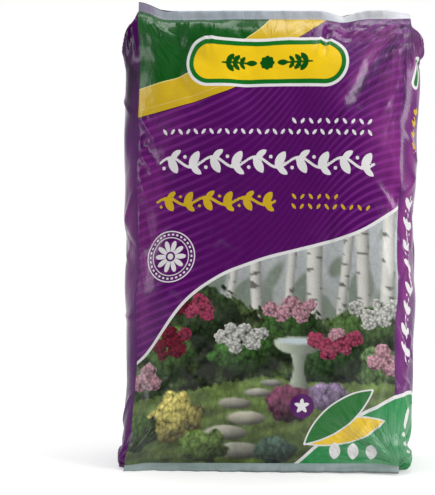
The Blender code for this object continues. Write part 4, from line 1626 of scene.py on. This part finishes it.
@dataclass
class Nodes:
    """A node tree under construction."""

    tree: bpy.types.NodeTree

    def add(self, kind: str, **settings: object) -> bpy.types.Node:
        """Add a node and set its options."""
        node = self.tree.nodes.new("ShaderNode" + kind)
        for name, value in settings.items():
            setattr(node, name, value)
        return node

    def feed(self, socket: Socket, value: Value | Colour | tuple) -> None:
        """Link a value to a socket, or write it on the socket if it is plain."""
        if isinstance(value, bpy.types.NodeSocket):
            self.tree.links.new(value, socket)
        elif isinstance(value, Ink):
            socket.default_value = value.linear
        else:
            socket.default_value = value

    def maths(self, operation: str, first: Value, second: Value = 0.0, clamp: bool = False) -> Socket:
        """One sum on one or two values."""
        node = self.add("Math", operation=operation, use_clamp=clamp)
        self.feed(node.inputs[0], first)
        self.feed(node.inputs[1], second)
        return node.outputs[0]

    def plus(self, first: Value, second: Value, clamp: bool = False) -> Socket:
        """The sum of two values."""
        return self.maths("ADD", first, second, clamp)

    def minus(self, first: Value, second: Value, clamp: bool = False) -> Socket:
        """One value less another."""
        return self.maths("SUBTRACT", first, second, clamp)

    def times(self, first: Value, second: Value, clamp: bool = False) -> Socket:
        """The product of two values, which for two masks is where both are 1."""
        return self.maths("MULTIPLY", first, second, clamp)

    def mix(self, share: Value, first: Colour, second: Colour) -> Socket:
        """A colour between two others."""
        node = self.add("Mix", data_type="RGBA")
        self.feed(node.inputs["Factor"], share)
        self.feed(node.inputs["A"], first)
        self.feed(node.inputs["B"], second)
        return node.outputs["Result"]

    def attribute(self, name: str) -> Socket:
        """A value that the mesh carries."""
        return self.add("Attribute", attribute_name=name).outputs["Fac"]

    def inside(self, distance: Value, edge: float = 0.0, blur: float = 0.0004) -> Socket:
        """A mask that is 1 where a distance is less than an edge."""
        away = self.minus(edge, distance)
        return self.plus(self.maths("DIVIDE", away, blur), 0.5, clamp=True)

    def between(self, distance: Value, least: float, most: float) -> Socket:
        """A mask that is 1 where a distance lies between two edges."""
        below = self.inside(distance, most)
        above = self.minus(1.0, self.inside(distance, least))
        return self.times(below, above)

    def noise(self, vector: Socket, scale: float, detail: float = 2.0, distortion: float = 0.0) -> Socket:
        """Smooth unevenness from 0 to 1."""
        node = self.add("TexNoise")
        self.feed(node.inputs["Vector"], vector)
        node.inputs["Scale"].default_value = scale
        node.inputs["Detail"].default_value = detail
        node.inputs["Distortion"].default_value = distortion
        return node.outputs["Fac"]

    def cells(self, vector: Socket, scale: float) -> bpy.types.Node:
        """A pattern of cells round scattered points."""
        node = self.add("TexVoronoi")
        self.feed(node.inputs["Vector"], vector)
        node.inputs["Scale"].default_value = scale
        return node

    def ridge(self, value: Socket, sharpness: float) -> Socket:
        """Thin lines, 1 along them, where unevenness crosses its middle."""
        away = self.maths("ABSOLUTE", self.minus(value, 0.5))
        return self.minus(1.0, self.times(away, sharpness), clamp=True)

    def red_share(self, colour: Socket) -> Socket:
        """The red share of a colour."""
        node = self.add("SeparateColor")
        self.feed(node.inputs[0], colour)
        return node.outputs[0]

    def scale_colour(self, colour: Colour, share: Value) -> Socket:
        """A colour made lighter or darker."""
        node = self.add("VectorMath", operation="SCALE")
        self.feed(node.inputs[0], colour)
        self.feed(node.inputs["Scale"], share)
        return node.outputs["Vector"]

    def stretch(self, vector: Socket, scale: Triple) -> Socket:
        """A vector scaled along its axes."""
        node = self.add("Mapping")
        self.feed(node.inputs["Vector"], vector)
        node.inputs["Scale"].default_value = scale
        return node.outputs["Vector"]


def make_wrinkle_group() -> bpy.types.NodeTree:
    """Build the film's fine wrinkle: a height, an unevenness of gloss, and the lines where it is pulled."""
    tree = bpy.data.node_groups.new("film_wrinkle", "ShaderNodeTree")
    tree.interface.new_socket("Vector", in_out="INPUT", socket_type="NodeSocketVector")
    tree.interface.new_socket("Fan", in_out="INPUT", socket_type="NodeSocketVector")
    tree.interface.new_socket("Strain", in_out="INPUT", socket_type="NodeSocketFloat")
    tree.interface.new_socket("Corner", in_out="INPUT", socket_type="NodeSocketFloat")
    for name in ("Height", "Gloss", "Streak"):
        tree.interface.new_socket(name, in_out="OUTPUT", socket_type="NodeSocketFloat")
    nodes = Nodes(tree)
    given = tree.nodes.new("NodeGroupInput")
    result = tree.nodes.new("NodeGroupOutput")
    vector = given.outputs["Vector"]
    slow = nodes.noise(vector, 26.0, 1.0, 0.6)
    grain = nodes.noise(vector, 150.0, 3.0, 1.2)
    upright = nodes.noise(nodes.stretch(vector, (1.0, 0.30, 1.0)), 62.0, 1.6, 0.8)
    weld_lines = nodes.times(nodes.ridge(upright, 5.0), given.outputs["Strain"])
    spread = nodes.noise(given.outputs["Fan"], 110.0, 2.0, 0.4)
    fan_lines = nodes.times(nodes.ridge(spread, 6.0), given.outputs["Corner"])
    lines = nodes.plus(weld_lines, fan_lines, clamp=True)
    height = nodes.plus(nodes.times(slow, 0.55), nodes.times(grain, 0.08))
    height = nodes.plus(height, nodes.times(lines, 0.42))
    nodes.feed(result.inputs["Height"], height)
    gloss = nodes.plus(nodes.times(slow, 0.6), nodes.times(grain, 0.4))
    nodes.feed(result.inputs["Gloss"], gloss)
    # The printed film also paints highlights in its colour along these pull lines.
    nodes.feed(result.inputs["Streak"], fan_lines)
    return tree


@dataclass(frozen=True)
class FilmFinish:
    """Glossy polyethylene film, printed on its outside or bare at the welds."""

    name: str
    roughness: float
    roughness_spread: float
    mirror: float
    coat: float
    coat_roughness: float
    bump: float

    def build(
        self,
        wrinkle: bpy.types.NodeTree,
        colour: Callable[[Nodes, Socket, Socket], Socket],
    ) -> bpy.types.Material:
        """Make the material.

        Args:
            wrinkle: the shared wrinkle group.
            colour: gives the film's colour from its nodes, its own coordinates and its pull lines.

        Returns:
            The material.
        """
        material = bpy.data.materials.new(self.name)
        material.use_nodes = True
        nodes = Nodes(material.node_tree)
        shader = material.node_tree.nodes["Principled BSDF"]
        place = nodes.add("UVMap", uv_map="film").outputs["UV"]
        fine = nodes.add("Group", node_tree=wrinkle)
        nodes.feed(fine.inputs["Vector"], place)
        nodes.feed(fine.inputs["Fan"], nodes.add("Attribute", attribute_name="fan").outputs["Vector"])
        nodes.feed(fine.inputs["Strain"], nodes.attribute("strain"))
        nodes.feed(fine.inputs["Corner"], nodes.attribute("corner"))
        nodes.feed(shader.inputs["Base Color"], colour(nodes, place, fine.outputs["Streak"]))
        spread = nodes.times(fine.outputs["Gloss"], self.roughness_spread)
        nodes.feed(shader.inputs["Roughness"], nodes.plus(spread, self.roughness))
        bump = nodes.add("Bump")
        bump.inputs["Strength"].default_value = 1.0
        bump.inputs["Distance"].default_value = self.bump
        nodes.feed(bump.inputs["Height"], fine.outputs["Height"])
        nodes.feed(shader.inputs["Normal"], bump.outputs["Normal"])
        shader.inputs["Specular IOR Level"].default_value = self.mirror
        shader.inputs["Coat Weight"].default_value = self.coat
        shader.inputs["Coat Roughness"].default_value = self.coat_roughness
        return material


class Print:
    """The colours of the printed film, worked out from the distances that the mesh carries."""

    EDGE = 0.0022
    SEAL_CENTRE = (-0.138, 0.2995)
    SEAL_RADIUS = 0.0355
    SEAL_PETALS = 10

    @staticmethod
    def ground(nodes: Nodes) -> Socket:
        """Purple with lighter lines that sweep across it, with painted sheen that lightens it and painted
        shade that darkens it.
        """
        wave = nodes.maths("PINGPONG", nodes.attribute("swirl"), 0.5)
        # The glow attribute is painted light: above 0 it mixes in a pink painted sheen, below 0 a painted
        # shade.
        glow = nodes.attribute("glow")
        sheen_share = nodes.times(glow, 0.27, clamp=True)
        shade_share = nodes.times(glow, -0.85, clamp=True)
        strength = nodes.attribute("swirl_share")
        line = nodes.times(nodes.inside(wave, 0.190, 0.10), strength)
        colour = nodes.mix(line, Ink.PURPLE, Ink.SWIRL)
        colour = nodes.mix(sheen_share, colour, Ink.SHEEN_PINK)
        return nodes.mix(shade_share, colour, Ink.SHADE_PURPLE)

    @staticmethod
    def garden(nodes: Nodes, place: Socket) -> Socket:
        """The garden border: painted fields broken up into leaves, and flower heads of small florets."""
        field = nodes.add("Attribute", attribute_name="garden").outputs["Color"]
        warp = nodes.add("TexNoise")
        nodes.feed(warp.inputs["Vector"], place)
        warp.inputs["Scale"].default_value = 95.0
        bend = nodes.add("VectorMath", operation="MULTIPLY_ADD")
        nodes.feed(bend.inputs[0], warp.outputs["Color"])
        bend.inputs[1].default_value = (0.010, 0.010, 0.0)
        nodes.feed(bend.inputs[2], place)
        bent = bend.outputs["Vector"]
        leaf = nodes.cells(nodes.stretch(bent, (1.0, 0.72, 1.0)), 165.0)
        small = nodes.cells(bent, 330.0)
        depth = nodes.times(leaf.outputs["Distance"], 1.30)
        depth = nodes.plus(depth, nodes.times(small.outputs["Distance"], 0.35))
        tone = nodes.times(nodes.red_share(leaf.outputs["Color"]), 0.55)
        light = nodes.plus(nodes.minus(1.45, depth), tone)
        share = nodes.attribute("leafiness")
        light = nodes.times(nodes.minus(light, 1.0), share)
        grain = nodes.times(nodes.minus(nodes.noise(place, 420.0, 2.0), 0.5), 0.35)
        light = nodes.plus(nodes.plus(light, 1.0), grain)
        colour = nodes.scale_colour(field, light)

        florets = nodes.cells(place, 250.0)
        wobble = nodes.times(nodes.minus(nodes.noise(place, 150.0, 2.0), 0.5), 0.9)
        bloom = nodes.attribute("bloom")
        head = nodes.inside(nodes.plus(bloom, wobble), 1.0, 0.06)
        tint = nodes.attribute("bloom_tint")
        pale = nodes.mix(nodes.inside(tint, 0.27, 0.02), Ink.PETAL_PINK, Ink.PETAL_WHITE)
        strong = nodes.mix(nodes.inside(tint, 0.76, 0.02), Ink.PETAL_CRIMSON, Ink.PETAL_ROSE)
        hue = nodes.mix(nodes.inside(tint, 0.55, 0.02), strong, pale)
        petal = nodes.minus(1.25, nodes.times(florets.outputs["Distance"], 0.95))
        round_off = nodes.times(nodes.attribute("bloom_shade"), 0.42)
        hue = nodes.scale_colour(hue, nodes.minus(petal, round_off))
        return nodes.mix(head, colour, hue)

    @staticmethod
    def rosette(nodes: Nodes, place: Socket, centre: Pair, radius: float, petals: int) -> Socket:
        """A mask of a plain daisy inside two rings, with a circle of beads between the rings."""
        away = nodes.add("VectorMath", operation="SUBTRACT")
        nodes.feed(away.inputs[0], place)
        away.inputs[1].default_value = (*centre, 0.0)
        length = nodes.add("VectorMath", operation="LENGTH")
        nodes.feed(length.inputs[0], away.outputs["Vector"])
        reach = length.outputs["Value"]
        parts = nodes.add("SeparateXYZ")
        nodes.feed(parts.inputs[0], away.outputs["Vector"])
        turn = nodes.maths("ARCTAN2", parts.outputs["Y"], parts.outputs["X"])
        lobe = nodes.maths("ABSOLUTE", nodes.maths("COSINE", nodes.times(turn, petals / 2)))
        edge = nodes.times(nodes.maths("POWER", lobe, 0.45), radius * 0.64)
        flower = nodes.inside(nodes.minus(reach, edge), 0.0)
        flower = nodes.times(flower, nodes.minus(1.0, nodes.inside(reach, radius * 0.20)))
        flower = nodes.plus(flower, nodes.inside(reach, radius * 0.12), clamp=True)
        bead = nodes.maths("COSINE", nodes.times(turn, petals * 3.0))
        beads = nodes.inside(nodes.times(bead, -1.0), 0.0, 0.3)
        beads = nodes.times(beads, nodes.between(reach, radius * 0.84, radius * 0.91))
        outer = nodes.between(reach, radius * 0.975, radius * 1.02)
        inner = nodes.between(reach, radius * 0.735, radius * 0.77)
        rings = nodes.plus(outer, inner)
        return nodes.plus(nodes.plus(flower, beads), rings, clamp=True)

    @staticmethod
    def printed(nodes: Nodes, place: Socket, streak: Socket) -> Socket:
        """The whole print, from the ground up, with painted highlights along the pull lines that spread from
        the panels' corners and a faint painted sheen round those corners.
        """
        colour = Print.ground(nodes)
        above = nodes.attribute("above_picture")
        colour = nodes.mix(nodes.inside(above, 0.0), colour, Print.garden(nodes, place))
        colour = nodes.mix(nodes.between(above, -Print.EDGE, Print.EDGE), colour, Ink.WHITE)
        field = nodes.attribute("above_field")
        colour = nodes.mix(nodes.inside(field, Print.EDGE), colour, Ink.WHITE)
        colour = nodes.mix(nodes.inside(field, -Print.EDGE), colour, Ink.FIELD_GREEN)

        foot = nodes.attribute("above_foot")
        on_panel = nodes.inside(nodes.times(foot, -1.0), 0.0012)
        colour = nodes.mix(on_panel, colour, Ink.DEEP_EDGE)
        colour = nodes.mix(nodes.inside(nodes.times(foot, -1.0), 0.0), colour, Ink.YELLOW)
        stripe = nodes.times(nodes.between(foot, 0.0085, 0.0097), 0.5)
        colour = nodes.mix(stripe, colour, Ink.CREAM)
        top = nodes.attribute("above_band")
        outer = nodes.times(top, -1.0)
        colour = nodes.mix(nodes.inside(outer, 0.0015), colour, Ink.CREAM)
        colour = nodes.mix(nodes.inside(outer, 0.0), colour, Ink.GREEN)

        badge = nodes.attribute("badge")
        colour = nodes.mix(nodes.inside(badge), colour, Ink.WHITE)
        colour = nodes.mix(nodes.inside(badge, -0.0042), colour, Ink.LEAF_GREEN)
        colour = nodes.mix(nodes.inside(badge, -0.0105), colour, Ink.BRIGHT_YELLOW)
        colour = nodes.mix(nodes.inside(nodes.attribute("badge_sprig")), colour, Ink.GREEN)

        for ink, name in ((Ink.BRIGHT_YELLOW, "yellow_leaf"), (Ink.LEAF_GREEN, "green_leaf")):
            leaf = nodes.attribute(name)
            colour = nodes.mix(nodes.inside(leaf, Print.EDGE), colour, Ink.WHITE)
            colour = nodes.mix(nodes.inside(leaf), colour, ink)
        disc = nodes.attribute("disc")
        colour = nodes.mix(nodes.inside(disc), colour, Ink.PURPLE)
        colour = nodes.mix(nodes.inside(nodes.attribute("disc_flower")), colour, Ink.WHITE)
        seal = Print.rosette(nodes, place, Print.SEAL_CENTRE, Print.SEAL_RADIUS, Print.SEAL_PETALS)
        colour = nodes.mix(seal, colour, Ink.WHITE)
        colour = nodes.mix(nodes.inside(nodes.attribute("white_ink")), colour, Ink.WHITE)
        colour = nodes.mix(nodes.inside(nodes.attribute("yellow_ink")), colour, Ink.YELLOW)
        # Painted highlights: pale along the pull lines, and a faint pale painted sheen where the corners
        # pull.
        corner_sheen = nodes.times(nodes.attribute("corner"), 0.05)
        return nodes.mix(nodes.plus(nodes.times(streak, 0.20), corner_sheen), colour, Ink.HIGHLIGHT_AND_STREAK_PALE)

    @staticmethod
    def weld(nodes: Nodes, place: Socket, streak: Socket) -> Socket:
        """Unprinted film at the welds: greyish and streaked, greener and darker at the foot."""
        above = nodes.attribute("above_body")
        at_top = nodes.minus(1.0, nodes.inside(above, -0.1))
        cloud = nodes.noise(nodes.stretch(place, (14.0, 90.0, 1.0)), 1.0, 3.0)
        across = nodes.add("SeparateXYZ")
        nodes.feed(across.inputs[0], place)
        rightward = nodes.times(nodes.plus(across.outputs["X"], 0.03), 5.5, clamp=True)
        uneven = nodes.times(nodes.minus(cloud, 0.5), 0.8)
        pale = nodes.plus(nodes.plus(rightward, uneven), 0.05, clamp=True)
        top = nodes.mix(pale, Ink.WELD_GREY, Ink.WELD_PALE)
        ear = nodes.inside(across.outputs["X"], -0.168, 0.02)
        top = nodes.mix(nodes.times(ear, 0.45), top, Ink.SWIRL)
        foot = nodes.mix(nodes.times(cloud, 0.8), Ink.WELD_FOOT, Ink.WELD_GREY)
        rim = nodes.inside(nodes.attribute("to_rim"), 0.0022, 0.0012)
        foot = nodes.scale_colour(foot, nodes.minus(1.0, nodes.times(rim, 0.55)))
        foot = nodes.mix(nodes.times(cloud, 0.35), foot, Ink.HIGHLIGHT_AND_STREAK_PALE)
        cut = nodes.minus(1.0, nodes.inside(above, 0.0113))
        ear_cut = nodes.times(cut, nodes.inside(across.outputs["X"], -0.140, 0.02))
        top = nodes.mix(ear_cut, top, Ink.CUT)
        return nodes.mix(at_top, foot, top)


@dataclass(frozen=True)
class Studio:
    """The pale floor, the lamps and the camera."""

    azimuth: float = math.radians(4.0)
    elevation: float = math.radians(5.0)
    distance: float = 2.3
    photo_metres_per_pixel: float = 0.00142
    photo_centre: Pair = (271.0, 234.5)
    aim: Triple = (0.0, 0.0, 0.325)
    fill_level: float = 0.45
    front_level: float = 0.005
    floor_radius: float = 1.3
    floor_tone: float = 0.80
    floor_glow: float = 0.40

    def add_camera(self) -> None:
        """Add the camera at the photograph's viewing angle."""
        data = bpy.data.cameras.new("camera")
        camera = add_object("camera", data)
        back = Vector(
            (
                math.sin(self.azimuth) * math.cos(self.elevation),
                -math.cos(self.azimuth) * math.cos(self.elevation),
                math.sin(self.elevation),
            )
        )
        camera.location = Vector(self.aim) + back * self.distance
        point_along(camera, -back, "-Z")
        long_side = max(PHOTO_SIZE)
        data.sensor_fit = "AUTO"
        data.lens = data.sensor_width * self.distance / (long_side * self.photo_metres_per_pixel)
        data.shift_x = (PHOTO_SIZE[0] / 2 - self.photo_centre[0]) / long_side
        data.shift_y = (self.photo_centre[1] - PHOTO_SIZE[1] / 2) / long_side
        bpy.context.scene.camera = camera

    def add_area(self, name: str, place: Triple, size: Pair, power: float) -> None:
        """Add a soft rectangular lamp that faces the sack."""
        data = bpy.data.lights.new(name, "AREA")
        data.shape = "RECTANGLE"
        data.size, data.size_y = size
        data.energy = power
        lamp = add_object(name, data)
        lamp.location = place
        point_along(lamp, Vector(self.aim) - Vector(place), "-Z")

    def add_lamps(self) -> None:
        """Add a large soft lamp on the right, a small one on the left and one above."""
        self.add_area("right_softbox", (2.1, -0.9, 0.9), (0.8, 1.6), 31)
        self.add_area("left_fill", (-1.9, -1.2, 0.9), (0.5, 1.4), 10)
        self.add_area("top_softbox", (0.0, 0.2, 2.2), (1.4, 0.8), 17)

    def add_world(self) -> None:
        """Add plain studio light: white to the camera, an even fill for lighting, and in reflections light
        behind and to the sides, dim in front of the sack.
        """
        world = bpy.data.worlds.new("studio")
        bpy.context.scene.world = world
        world.cycles.sampling_method = "NONE"
        world.use_nodes = True
        nodes = world.node_tree.nodes
        links = world.node_tree.links
        background = nodes["Background"]
        path = nodes.new("ShaderNodeLightPath")
        seen = Nodes(world.node_tree)
        way = seen.add("TexCoord").outputs["Generated"]
        parts = seen.add("SeparateXYZ")
        seen.feed(parts.inputs[0], way)
        behind = seen.times(seen.minus(parts.outputs["Y"], 0.45), 2.5, clamp=True)
        aside = seen.minus(seen.maths("ABSOLUTE", parts.outputs["X"]), 0.62)
        beside = seen.times(aside, 1.3, clamp=True)
        level = seen.plus(seen.plus(behind, beside), self.front_level, clamp=True)
        mirrored = seen.plus(path.outputs["Is Glossy Ray"], path.outputs["Is Transmission Ray"], clamp=True)
        shown = seen.times(mirrored, level)
        plain = seen.minus(1.0, seen.plus(mirrored, path.outputs["Is Camera Ray"], clamp=True))
        strength = seen.plus(seen.times(plain, self.fill_level), shown)
        strength = seen.plus(strength, path.outputs["Is Camera Ray"], clamp=True)
        links.new(strength, background.inputs["Strength"])
        background.inputs["Color"].default_value = (1, 1, 1, 1)

    def add_floor(self) -> None:
        """Add the pale floor, whose rim fades into the white behind it."""
        bm = bmesh.new()
        bmesh.ops.create_circle(bm, cap_ends=True, segments=64, radius=self.floor_radius)
        mesh = make_mesh("floor", bm)
        floor = add_object("floor", mesh)
        material = bpy.data.materials.new("pale_floor")
        material.use_nodes = True
        nodes = material.node_tree.nodes
        links = material.node_tree.links
        shader = nodes["Principled BSDF"]
        shader.inputs["Base Color"].default_value = (self.floor_tone, self.floor_tone, self.floor_tone, 1)
        shader.inputs["Roughness"].default_value = 0.9
        glow = nodes.new("ShaderNodeEmission")
        tree = Nodes(material.node_tree)
        seen = tree.add("LightPath").outputs["Is Camera Ray"]
        tree.feed(glow.inputs["Strength"], tree.times(seen, self.floor_glow))
        both = nodes.new("ShaderNodeAddShader")
        links.new(shader.outputs[0], both.inputs[0])
        links.new(glow.outputs[0], both.inputs[1])
        surface = self.fade_out(material.node_tree, both.outputs[0])
        links.new(surface, nodes["Material Output"].inputs["Surface"])
        mesh.materials.append(material)

    def fade_out(self, tree: bpy.types.NodeTree, surface: Socket) -> Socket:
        """Make a surface clear towards the floor's rim.

        Args:
            tree: the floor's node tree.
            surface: the floor's shader.

        Returns:
            The shader with its rim faded out.
        """
        nodes = Nodes(tree)
        length = nodes.add("VectorMath", operation="LENGTH")
        nodes.feed(length.inputs[0], nodes.add("TexCoord").outputs["Object"])
        inward = nodes.minus(self.floor_radius, length.outputs["Value"])
        cover = nodes.maths("DIVIDE", inward, self.floor_radius * 0.5, clamp=True)
        mixed = nodes.add("MixShader")
        nodes.feed(mixed.inputs[0], cover)
        nodes.feed(mixed.inputs[1], nodes.add("BsdfTransparent").outputs[0])
        nodes.feed(mixed.inputs[2], surface)
        return mixed.outputs[0]

    def build(self) -> None:
        """Add everything in the studio."""
        self.add_camera()
        self.add_world()
        self.add_lamps()
        self.add_floor()
        bpy.context.scene.view_settings.view_transform = "Standard"


@dataclass
class Sack:
    """The sack's one visible piece: printed film over its filling."""

    form: SackForm
    drape: FilmDrape
    film: PrintedFilm
    fan_spread: float = 0.085
    fan_stretch: float = 0.22
    fan_reach: float = 0.085
    corner_pull: tuple[float, float, float, float] = (0.25, 0.15, 1.0, 0.35)

    def shape(self, low: Array, high: Array) -> tuple[bpy.types.Mesh, Array, Array]:
        """Make the film's mesh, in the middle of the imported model's box.

        Args:
            low: the box's lowest corner.
            high: the box's highest corner.

        Returns:
            The mesh, and the row and column of each of its vertices.
        """
        points = self.film.points(self.drape.run(), self.drape.lattice)
        bm = self.film.lattice.make_tube()
        mesh = make_mesh("printed_film", bm)
        row, column = self.film.lattice.address(get_points(mesh))
        place = points[row, column]
        shift = (low + high) / 2 - (place.min(axis=0) + place.max(axis=0)) / 2
        shift[2] = 0
        set_points(mesh, place + shift)
        mesh.shade_smooth()
        return mesh, row, column

    def carry(self, mesh: bpy.types.Mesh, row: Array, column: Array) -> Array:
        """Give the mesh its film coordinates and the print's distances.

        Args:
            mesh: the film's mesh.
            row: the row of each vertex.
            column: the column of each vertex.

        Returns:
            Whether each face lies on a weld's strip.
        """
        corners = self.film.coordinates(mesh, row, column)
        layer = mesh.uv_layers.new(name="film")
        pairs = np.stack([corners["across"], corners["along"]], axis=-1)
        layer.data.foreach_set("uv", pairs.astype(np.float32).ravel())
        artwork = Artwork(self.form.panel_width / 2, self.film.film_length)
        values = artwork.bands(corners["side"], corners["across"], corners["along"])
        length = self.film.film_length
        to_weld = np.minimum(corners["along"], length - corners["along"])
        values["strain"], values["corner"], fan = self.strain(corners, to_weld)
        # Painted sheen and painted shade of the purple ink, carried as the glow attribute.
        values["glow"] = PaintedSheen().level(corners["side"], corners["across"], corners["along"])
        pulled = mesh.attributes.new("fan", "FLOAT_VECTOR", "CORNER")
        pulled.data.foreach_set("vector", fan.astype(np.float32).ravel())
        canvas, values["leafiness"] = Garden().paint(corners["across"], corners["along"])
        part = np.clip(canvas / 255, 0, 1)
        linear = np.where(part > 0.04045, ((part + 0.055) / 1.055) ** 2.4, part / 12.92)
        painted = mesh.attributes.new("garden", "FLOAT_COLOR", "CORNER")
        alpha = np.ones(len(linear))
        painted.data.foreach_set("color", np.column_stack([linear, alpha]).astype(np.float32).ravel())
        for name, value in values.items():
            attribute = mesh.attributes.new(name, "FLOAT", "CORNER")
            attribute.data.foreach_set("value", value.astype(np.float32))
        counts = np.bincount(corners["face"])
        return np.bincount(corners["face"], weights=to_weld) / counts < 0

    def strain(self, corners: dict[str, Array], to_weld: Array) -> tuple[Array, Array, Array]:
        """How hard the film is pulled into fine wrinkles, and which way.

        Args:
            corners: what PrintedFilm.coordinates gives.
            to_weld: each place's distance from the nearer weld line.

        Returns:
            The pull at the welds, from 0 to 1; the pull at the panels' corners, from 0 to 1; and coordinates
            that run across and along the lines that spread from those corners.
        """
        half = self.form.panel_width / 2
        across = corners["across"]
        on_panel = corners["side"] == Side.FRONT
        inward = np.where(on_panel, half - np.abs(across), np.abs(across) - half)
        reach = np.hypot(inward, np.maximum(to_weld, 0))
        turn = np.arctan2(np.maximum(to_weld, 0), inward)
        which = 2 * (across > 0) + (corners["along"] > self.film.film_length / 2)
        fan = np.column_stack([turn * self.fan_spread, reach * self.fan_stretch, which])
        corner = bell(reach, self.fan_reach) * np.array(self.corner_pull)[which]
        corner = np.where(on_panel | (corners["side"] == Side.RIGHT), corner, 0.0)
        weld = np.clip(bell(to_weld, 0.030) + 0.25 * bell(inward, 0.03), 0, 1)
        return weld, np.clip(1.3 * corner, 0, 1), fan

    @staticmethod
    def materials() -> tuple[bpy.types.Material, bpy.types.Material]:
        """The printed film, and the bare film of the welds."""
        wrinkle = make_wrinkle_group()
        printed = FilmFinish(
            "printed_film", roughness=0.20, roughness_spread=0.16, mirror=0.32,
            coat=0.20, coat_roughness=0.10, bump=0.0022,
        )
        bare = FilmFinish(
            "weld_film", roughness=0.34, roughness_spread=0.20, mirror=0.40,
            coat=0.12, coat_roughness=0.20, bump=0.0012,
        )
        return printed.build(wrinkle, Print.printed), bare.build(wrinkle, Print.weld)

    def build(self) -> bpy.types.Object:
        """Returns:
            The sack's object.
        """
        low, high = (np.array(corner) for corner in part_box("bag"))
        mesh, row, column = self.shape(low, high)
        on_strip = self.carry(mesh, row, column)
        for material in self.materials():
            mesh.materials.append(material)
        mesh.polygons.foreach_set("material_index", on_strip.astype(np.int32))
        sack = add_object("printed_film", mesh)
        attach(sack, "root")
        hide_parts("bag")
        log.info("printed film: %d faces", len(mesh.polygons))
        return sack


def main() -> None:
    """Build the studio and the sack, in order."""
    logging.basicConfig(level=logging.INFO, format="%(name)s: %(message)s")
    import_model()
    Studio().build()
    form = SackForm()
    Sack(form, FilmDrape(form), PrintedFilm(form)).build()


if __name__ == "__main__":
    main()
